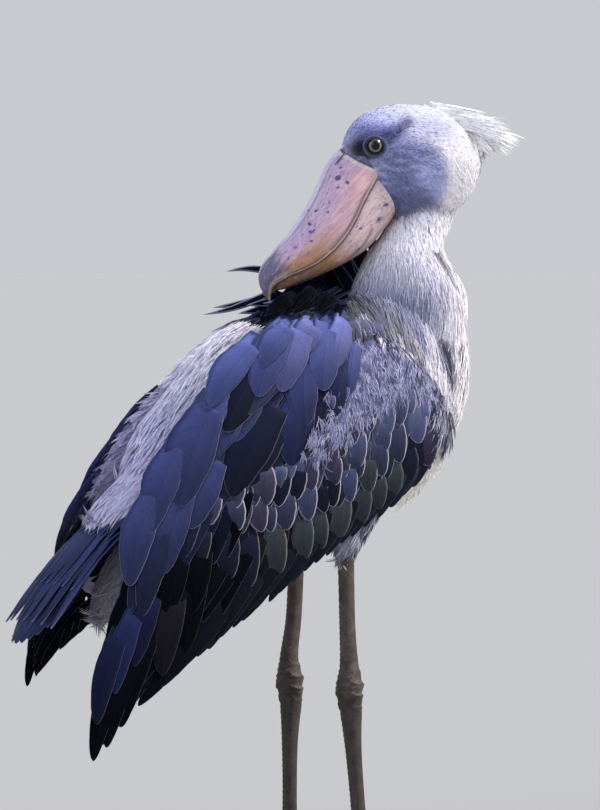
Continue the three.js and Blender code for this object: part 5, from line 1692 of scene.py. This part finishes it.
def eyeball(centre, out):
    pile = Pile()
    steps, sides = 40, 48
    a = np.linspace(0.001, math.pi - 0.001, steps + 1)
    a, b = np.meshgrid(a, np.linspace(0, 2 * math.pi, sides, endpoint=False), indexing="ij")
    r = EYE["radius"] - 0.4 + 1.1 * bell(a, 0, 0.42)
    far = r * np.sin(a)
    points = face_ring(centre, out, far, b, r * np.cos(a))
    disc = np.stack([np.where(a < 1.6, far, 12), np.cos(b), np.sin(b)], -1)
    pile.add(points, grid_faces(steps + 1, sides, True), disc=disc.reshape(-1, 3))
    return pile


def lids(centre, out):
    """Three folds of skin round the eye, each a closed ring."""
    pile = Pile()
    turn = np.linspace(0, 2 * math.pi, LID_STEPS, endpoint=False)[:, None]
    cross = np.linspace(0, 2 * math.pi, LID_SIDES, endpoint=False)[None]
    last, first = (LID_STEPS - 1) * LID_SIDES + np.arange(LID_SIDES), np.arange(LID_SIDES)
    close = np.stack([last, np.roll(last, -1), np.roll(first, -1), first], -1)
    faces = [grid_faces(LID_STEPS, LID_SIDES, True), close]
    for k, (radius, thick, lift, droop, colour) in enumerate(LID_FOLDS):
        fold = 1 + 0.06 * np.sin(turn * 9 + k) + 0.03 * np.sin(turn * 23 + 2 * k)
        far = radius - droop * bell(turn, 1.75, 0.9) + thick * fold * np.cos(cross)
        deep = lift + thick * fold * np.sin(cross) * 0.8
        pile.add(face_ring(centre, out, far, turn, deep, 0.94), faces, tint=np.array([*linear(colour), 1.0]))
    return pile


def make_eyes(wet, skin_look):
    for name, side in (("left", LEFT), ("right", RIGHT)):
        centre = head_point(EYE["forward"], EYE["up"], side * EYE["side"])
        finish_piece(eyeball(centre, head_left * side).build("eyeball_" + name, wet), "eye", "eye_" + name)
        finish_piece(lids(centre, head_left * side).build("lids_" + name, skin_look), "plumage")


# Legs, feet and claws
LEG_TINT, CLAW_TINT = linear((80, 68, 62)), linear((40, 36, 38))


def leg_skin(shank):
    """The bare leg with its scales, and lumps and folds at the ankle."""
    def place(t, c, s):
        z, turn = shank.point(t, c, s)[..., 2], np.arctan2(s, c)
        ring = 0.35 * np.sin(z * 0.9) * smooth(-c, -0.2, 0.6)
        lumps = np.sin(3 * turn + 0.6 + 0.05 * z) + 0.7 * np.sin(0.34 * z + 2 * np.sin(turn))
        folds = 1 - np.abs(np.sin(0.2 * z + 1.3 * np.sin(turn + 1) + 0.6 * np.sin(3 * turn)))
        return shank.point(t, c, s, ring + bell(z, ANKLE_HEIGHT, 24) * (1.1 * lumps + 2.4 * folds**3))

    points, faces = tube(place, 220, 36, False)
    joint = bell(points[:, 2:], ANKLE_HEIGHT, 26)
    colour = mix(spread(LEG_TINT * 1.15, points), LEG_TINT * 0.7, smooth(ANKLE_HEIGHT - points[:, 2:], -10, 30))
    colour = colour * (1 - 0.35 * joint * (ripple(points, 14, 12)[:, None] > 0.1))
    return points, faces, np.hstack([colour, np.ones((len(points), 1))])


def toe_and_claw(leg, turn, length, joints):
    yaw = math.radians(leg["side"] * (turn + leg["yaw"]))
    start = np.array([leg["foot"], leg["side"] * LEG_OUT, 0.0])
    way = np.array([math.cos(yaw), math.sin(yaw), 0.0])
    across = np.array([-math.sin(yaw), math.cos(yaw), 0.0])

    def lay(far, aside, height):
        return start + way * far[..., None] + across * aside[..., None] + UP * height[..., None]

    def toe(t, c, s):
        knuckle = 1 + 0.1 * np.cos(2 * math.pi * joints * t) + 0.022 * np.sin(t * length * 1.15) * (c > 0)
        thick = mix(TOE["root"], TOE["tip"], t)
        r = thick * knuckle * np.maximum(round_end(t, 0.06), 0.3)
        height = thick - TOE["flat"] + 9 * np.maximum(1 - t * 4, 0) + c * r
        return lay(length * t, s * r, np.maximum(height, 0.0))

    def claw(t, c, s):
        r = mix(CLAW["root"], CLAW["tip"], t)
        height = CLAW["root"] + 1.6 + 1.5 * np.sin(math.pi * t) - CLAW["drop"] * t * t + c * r
        return lay(length - 5 + CLAW["length"] * t, s * r * 0.8, np.maximum(height, 0.2))

    return tube(toe, 90, 20, False), tube(claw, 24, 16, False)


def make_leg(name, leg, skin_look, claw_look):
    skin_pile, claws = Pile(), Pile()
    points, faces, tint = leg_skin(shank_form(leg))
    skin_pile.add(points, faces, tint=tint)
    for sizes in TOES.values():
        toe, claw = toe_and_claw(leg, *sizes)
        skin_pile.add(*toe, tint=np.array([*LEG_TINT, 1.0]))
        claws.add(*claw, tint=np.array([*CLAW_TINT, 1.0]))
    finish_piece(skin_pile.build("leg_skin_" + name, skin_look), "leg_skin", "leg_" + name, "foot_" + name)
    finish_piece(claws.build("claws_" + name, claw_look), "claw", *("claw_%s_%s" % (name, toe) for toe in TOES))


MATERIAL = {
    "fluff": fluff_material("body_fluff"),
    "dark_fluff": fluff_material("dark_fluff", 0.02),
    "crest": fluff_material("crest_fluff", 0.9),
    "skin": skin_material("skin"),
    "lid": skin_material("lid_skin"),
    "flight": vane_material("flight_vanes", 0.0, 0.65, 0.015),
    "covert": vane_material("covert_vanes", 0.01, 0.6, 0.09),
    "scapular": vane_material("scapular_vanes", 0.01, 0.55, 0.08),
    "tail": vane_material("tail_vanes", 0.0, 0.55),
    "bill": bill_material("bill_horn"),
    "eye": eye_material("eye_wet"),
    "leg": leg_material("leg_scales"),
    "claw": claw_material("claw_horn"),
}

skin = make_skin(MATERIAL["skin"])
finish_piece(skin, "plumage", "torso", "neck", "head", "thigh_left", "thigh_right")
surface = Surface(skin)

make_bill(True, MATERIAL["bill"])
make_bill(False, MATERIAL["bill"])
make_eyes(MATERIAL["eye"], MATERIAL["lid"])
for leg_name, leg_sizes in LEGS.items():
    make_leg(leg_name, leg_sizes, MATERIAL["leg"], MATERIAL["claw"])
GROUPS = {
    "flight_feathers": (("primaries", "secondaries", "secondaries_high", "tertials"), ("flight",), "flight"),
    "wing_coverts": (("greater", "median_low", "median_high"), ("greater", "medians"), "covert"),
    "small_coverts": (("marginal", *("lesser_" + letter for letter in "abcde")), (), "covert"),
    "scapulars": (tuple("scapular_" + letter for letter in "abcdef"), ("scapulars",), "scapular"),
}
for wing_name in WINGS:
    make_wing(wing_name, GROUPS, MATERIAL)
    make_soft(wing_name, MATERIAL["fluff"], MATERIAL["covert"])
ruffled(MATERIAL["flight"])
make_tail(MATERIAL["tail"])

# Body coat
def coat_shares(middle):
    """How much of each region's coat grows at each place."""
    x, y, z = middle.T
    head = head_share(middle)
    neck = (1 - head) * smooth(z, 650, 700) * smooth(x, 30, 70)
    rest = np.clip(1 - head - neck, 0, 1)
    vent = rest * smooth(-x, 150, 180) * smooth(480 - z, 0, 20)
    thigh = rest * (1 - vent) * smooth(475 - z, 0, 20) * (np.abs(y) > 30) * (x > -60)
    back = rest * (1 - vent) * (1 - thigh)
    spine = spine_at(x)
    saddle_shade = back * ((y < 40) & (z > spine[:, 2] + 0.35 * spine[:, 3]) & (x > -66) & (x < 66))
    back = back * (saddle_shade == 0)
    breast, back = back * (x > 60), back * (x <= 60)
    mantle = back * (valley(middle) > 0.25) * (z > spine[:, 2])
    return {"coat_head": head, "coat_neck": neck, "coat_back": back, "coat_breast": breast, "coat_saddle": saddle_shade,
            "coat_mantle": mantle, "coat_vent": vent, "coat_thigh": thigh}


def valley(points):
    """1 in the hollow between the wings, along the back."""
    x, y = points[:, 0], points[:, 1]
    return np.exp(-((y / 50) ** 2)) * smooth(x, -235, -190) * smooth(-30 - x, 0, 60)


# Each region's spacing and tufts
BODY = dict(spacing=7.0, ribbons=14, length=30, half=0.95, fan=0.2, roll=0.45, root=3.0, base=2.5, lift=0.2,
            curve=260, vary=0.045, root_shade=0.88, gather=0.4)
UNDER = dict(spacing=6.0, half=1.0, roll=0.6, lift=0.2, vary=0.05, root_shade=0.8)
REGIONS = {
    "coat_head": dict(spacing=2.9, ribbons=6, length=7.5, half=0.75, fan=0.16, roll=0.22, root=1.1, base=0.3,
                      lift=0.08, curve=90, vary=0.025, root_shade=0.94, gather=0.4),
    "coat_neck": dict(spacing=4.8, ribbons=12, length=26, half=0.7, fan=0.1, roll=0.3, root=2.4, base=2.0, lift=0.2,
                      curve=300, vary=0.03, root_shade=0.88),
    "coat_back": dict(BODY),
    "coat_breast": dict(BODY),
    "coat_saddle": dict(BODY, spacing=6.5, ribbons=12, length=26, roll=0.35, root=2.6, base=0.5, lift=0.12,
                        vary=0.05, root_shade=0.8, gather=0.5),
    "coat_mantle": dict(BODY, spacing=8.2, ribbons=13, length=36, root=3.6, lift=0.22, root_shade=0.9),
    "coat_vent": dict(UNDER, ribbons=11, length=32, fan=0.26, root=2.4, base=2.0, curve=200),
    "coat_thigh": dict(UNDER, ribbons=9, length=26, fan=0.22, root=2.0, base=1.5, lift=0.18, curve=220),
}
# The mantle grows in layers, this high in the middle of the hollow
MANTLE_LAYERS = (11, 21, 31)
FORMS = {"coat_neck": neck_form, "coat_vent": vent_form}


def coat_unwrap(region, spots):
    if region == "coat_head":
        return unwrap_head(spots)
    if region != "coat_thigh":
        return unwrap_form(FORMS.get(region, torso_form), spots)
    left = spots[:, 1] > 0
    uv = unwrap_form(thigh_forms["right"], spots)
    uv[left] = unwrap_form(thigh_forms["left"], spots[left])
    return np.stack([uv[:, 0] * 0.5 + 0.5 * left, uv[:, 1]], -1)


def grow_coat(region, spec, share):
    spots, outs = surface.plant(share, spec.pop("spacing"))
    x, z = spots[:, 0], spots[:, 2]
    if region == "coat_mantle":
        spec["base"] = np.concatenate([valley(spots) * height for height in MANTLE_LAYERS])
        spots, outs = np.tile(spots, (len(MANTLE_LAYERS), 1)), np.tile(outs, (len(MANTLE_LAYERS), 1))
    elif region in ("coat_back", "coat_breast"):
        front, collar = smooth(x, 120, 170), smooth(x, 15, 60) * smooth(z, 560, 620)
        spec.update(base=2.5 + 5 * front, scale=1 + 0.35 * front + 0.25 * collar, gather=0.4 + 0.5 * collar)
    elif region == "coat_head":
        spec["scale"] = mix(0.55, 1.25, smooth(-head_local(spots)[0], -70, 60))
    elif region == "coat_neck":
        spec["scale"] = mix(0.3, 1.35, smooth(885 - z, 0, 175))
        spec["gather"] = mix(0.35, 0.95, smooth(760 - z, 0, 70))
    # The saddle's tufts carry more painted shade: their tint at 0.3, in a fluff without sheen
    dark = region == "coat_saddle"
    pile = Pile()
    tint = markings_and_shade(spots) * (0.3 if dark else 1)
    tufts(pile, spots, outs, lie(spots, outs), coat_unwrap(region, spots), tint, **spec)
    finish_piece(pile.build(region, MATERIAL["dark_fluff" if dark else "fluff"]), "plumage")


shares = coat_shares(surface.middle)
grows = body_share(surface.middle)
for region, spec in REGIONS.items():
    grow_coat(region, spec, shares[region] * grows)

# Crest: rows of long lax feathers that carry the flat crown back. Each row's turn round the head in degrees, how far
# back and up its tips reach, how many, and how wide they fan
CREST_ROWS = (
    (80, 80, 55, 5, 16), (72, 96, 50, 6, 20), (64, 110, 44, 7, 24), (57, 121, 36, 7, 26),
    (48, 126, 27, 7, 28), (38, 116, 19, 7, 27), (29, 101, 13, 6, 24), (20, 86, 8, 6, 21),
)
CREST_LENGTH, CREST_LAYERS, CREST_ROLL = 50, 3, 1.45


def make_crest(material):
    rows = []
    for turn, back, up, count, fan in CREST_ROWS:
        for q in np.linspace(-1, 1, count):
            turned = np.array(math.radians(turn + rng.normal(0, 2)))
            root = head_surface(turned, np.array(q * 0.42), DEPTH["head"])
            tip = head_point(-back * (1 - 0.14 * abs(q)), up * (1 - 0.1 * abs(q)), q * fan)
            way = unit(tip - root)
            aside = unit(np.cross(UP, way))
            above = unit(np.cross(np.cross(way, UP), way))
            out = above * math.cos(CREST_ROLL * q) - aside * math.sin(CREST_ROLL * q)
            out = unit(out - (out @ way) * way)
            reach = np.linalg.norm(tip - root) / CREST_LENGTH
            for _ in range(CREST_LAYERS):
                rows.append((root + rng.normal(0, 3, 3), unit(way + rng.normal(0, 0.06, 3)), out,
                             reach * rng.uniform(0.75, 1.02)))
    roots, ways, outs, scale = (np.array(column) for column in zip(*rows))
    crest = Pile()
    tufts(crest, roots, outs, ways, unwrap_head(roots), spread(linear((253, 250, 253)), roots), ribbons=26,
          length=CREST_LENGTH, half=1.5, fan=0.05, roll=0.25, root=4.0, base=-3, lift=0.06, curve=900, vary=0.03,
          scale=scale, root_shade=1.0, gather=0.5)
    finish_piece(crest.build("crest", material), "plumage")


make_crest(MATERIAL["crest"])


# Stage, light and camera
def look_rotation(way):
    return Vector(way.tolist()).to_track_quat("-Z", "Y").to_euler()


def make_floor(inner=0.3, outer=90.0, rings=24, sides=96):
    """A flat disc, in metres, with its rings closer near the bird."""
    a = np.linspace(0, 2 * math.pi, sides, endpoint=False)
    r = np.concatenate([[0.001], np.geomspace(inner, outer, rings)]) * 1000
    rr, aa = np.meshgrid(r, a, indexing="ij")
    points = np.stack([rr * np.cos(aa), rr * np.sin(aa), np.zeros_like(rr)], -1).reshape(-1, 3) - PLACE
    points[:, 2] = 0
    pile = Pile()
    pile.add(points, grid_faces(rings + 1, sides, True))
    pile.build("floor", floor_material("floor_paint"))


# The camera looks at TARGET, in mm, from AZ to the side and EL up, FAR metres away, and shows VIEW_HEIGHT metres
TARGET = (np.array([0, 0, 607.6]) + PLACE) / 1000
AZ, EL, FAR, VIEW_HEIGHT = math.radians(-30), math.radians(2), 6.5, 1.045
SENSOR = 24
TOWARD = np.array([math.sin(AZ) * math.cos(EL), -math.cos(AZ) * math.cos(EL), math.sin(EL)])
RIGHTWARD = np.array([math.cos(AZ), math.sin(AZ), 0.0])
BEHIND = np.array([-math.sin(AZ), math.cos(AZ), 0.0])


def make_camera():
    data = bpy.data.cameras.new("camera")
    data.sensor_fit, data.sensor_height = "VERTICAL", SENSOR
    data.lens = SENSOR * FAR / VIEW_HEIGHT
    data.clip_end = 400
    camera = bpy.data.objects.new("camera", data)
    camera.location = (TARGET + TOWARD * FAR).tolist()
    camera.rotation_euler = look_rotation(-TOWARD)
    bpy.context.scene.collection.objects.link(camera)
    bpy.context.scene.camera = camera


def sun_light(name, way, energy, spread_degrees, colour):
    light = bpy.data.lights.new(name, "SUN")
    light.energy, light.angle, light.color = energy, math.radians(spread_degrees), colour
    obj = bpy.data.objects.new(name, light)
    obj.rotation_euler = look_rotation(-way)
    bpy.context.scene.collection.objects.link(obj)


def studio_world():
    """Pale all round, a little brighter near the horizon than above."""
    world = bpy.data.worlds.new("studio")
    world.use_nodes = True
    tree = world.node_tree
    back = tree.nodes["Background"]
    place = tree.nodes.new("ShaderNodeTexCoord")
    split = tree.nodes.new("ShaderNodeSeparateXYZ")
    ramp = tree.nodes.new("ShaderNodeMapRange")
    blend = tree.nodes.new("ShaderNodeMix")
    blend.data_type = "RGBA"
    tree.links.new(place.outputs["Generated"], split.inputs[0])
    tree.links.new(split.outputs["Z"], ramp.inputs[0])
    ramp.inputs[1].default_value, ramp.inputs[2].default_value = 0.03, 0.4
    tree.links.new(ramp.outputs[0], blend.inputs[0])
    ends = [socket for socket in blend.inputs if socket.type == "RGBA"]
    ends[0].default_value, ends[1].default_value = (0.575, 0.59, 0.62, 1), (0.44, 0.48, 0.60, 1)
    tree.links.new([o for o in blend.outputs if o.type == "RGBA"][0], back.inputs[0])
    back.inputs[1].default_value = 1.0
    bpy.context.scene.world = world


make_floor()
make_camera()
sun_light("key", unit(1.0 * RIGHTWARD + 0.12 * BEHIND + 0.95 * UP), 4.6, 12, (1.0, 0.96, 0.9))
sun_light("fill", unit(-0.7 * RIGHTWARD - 0.9 * BEHIND + 0.5 * UP), 0.75, 40, (0.8, 0.87, 1.0))
studio_world()
bpy.context.scene.view_settings.view_transform = "Standard"
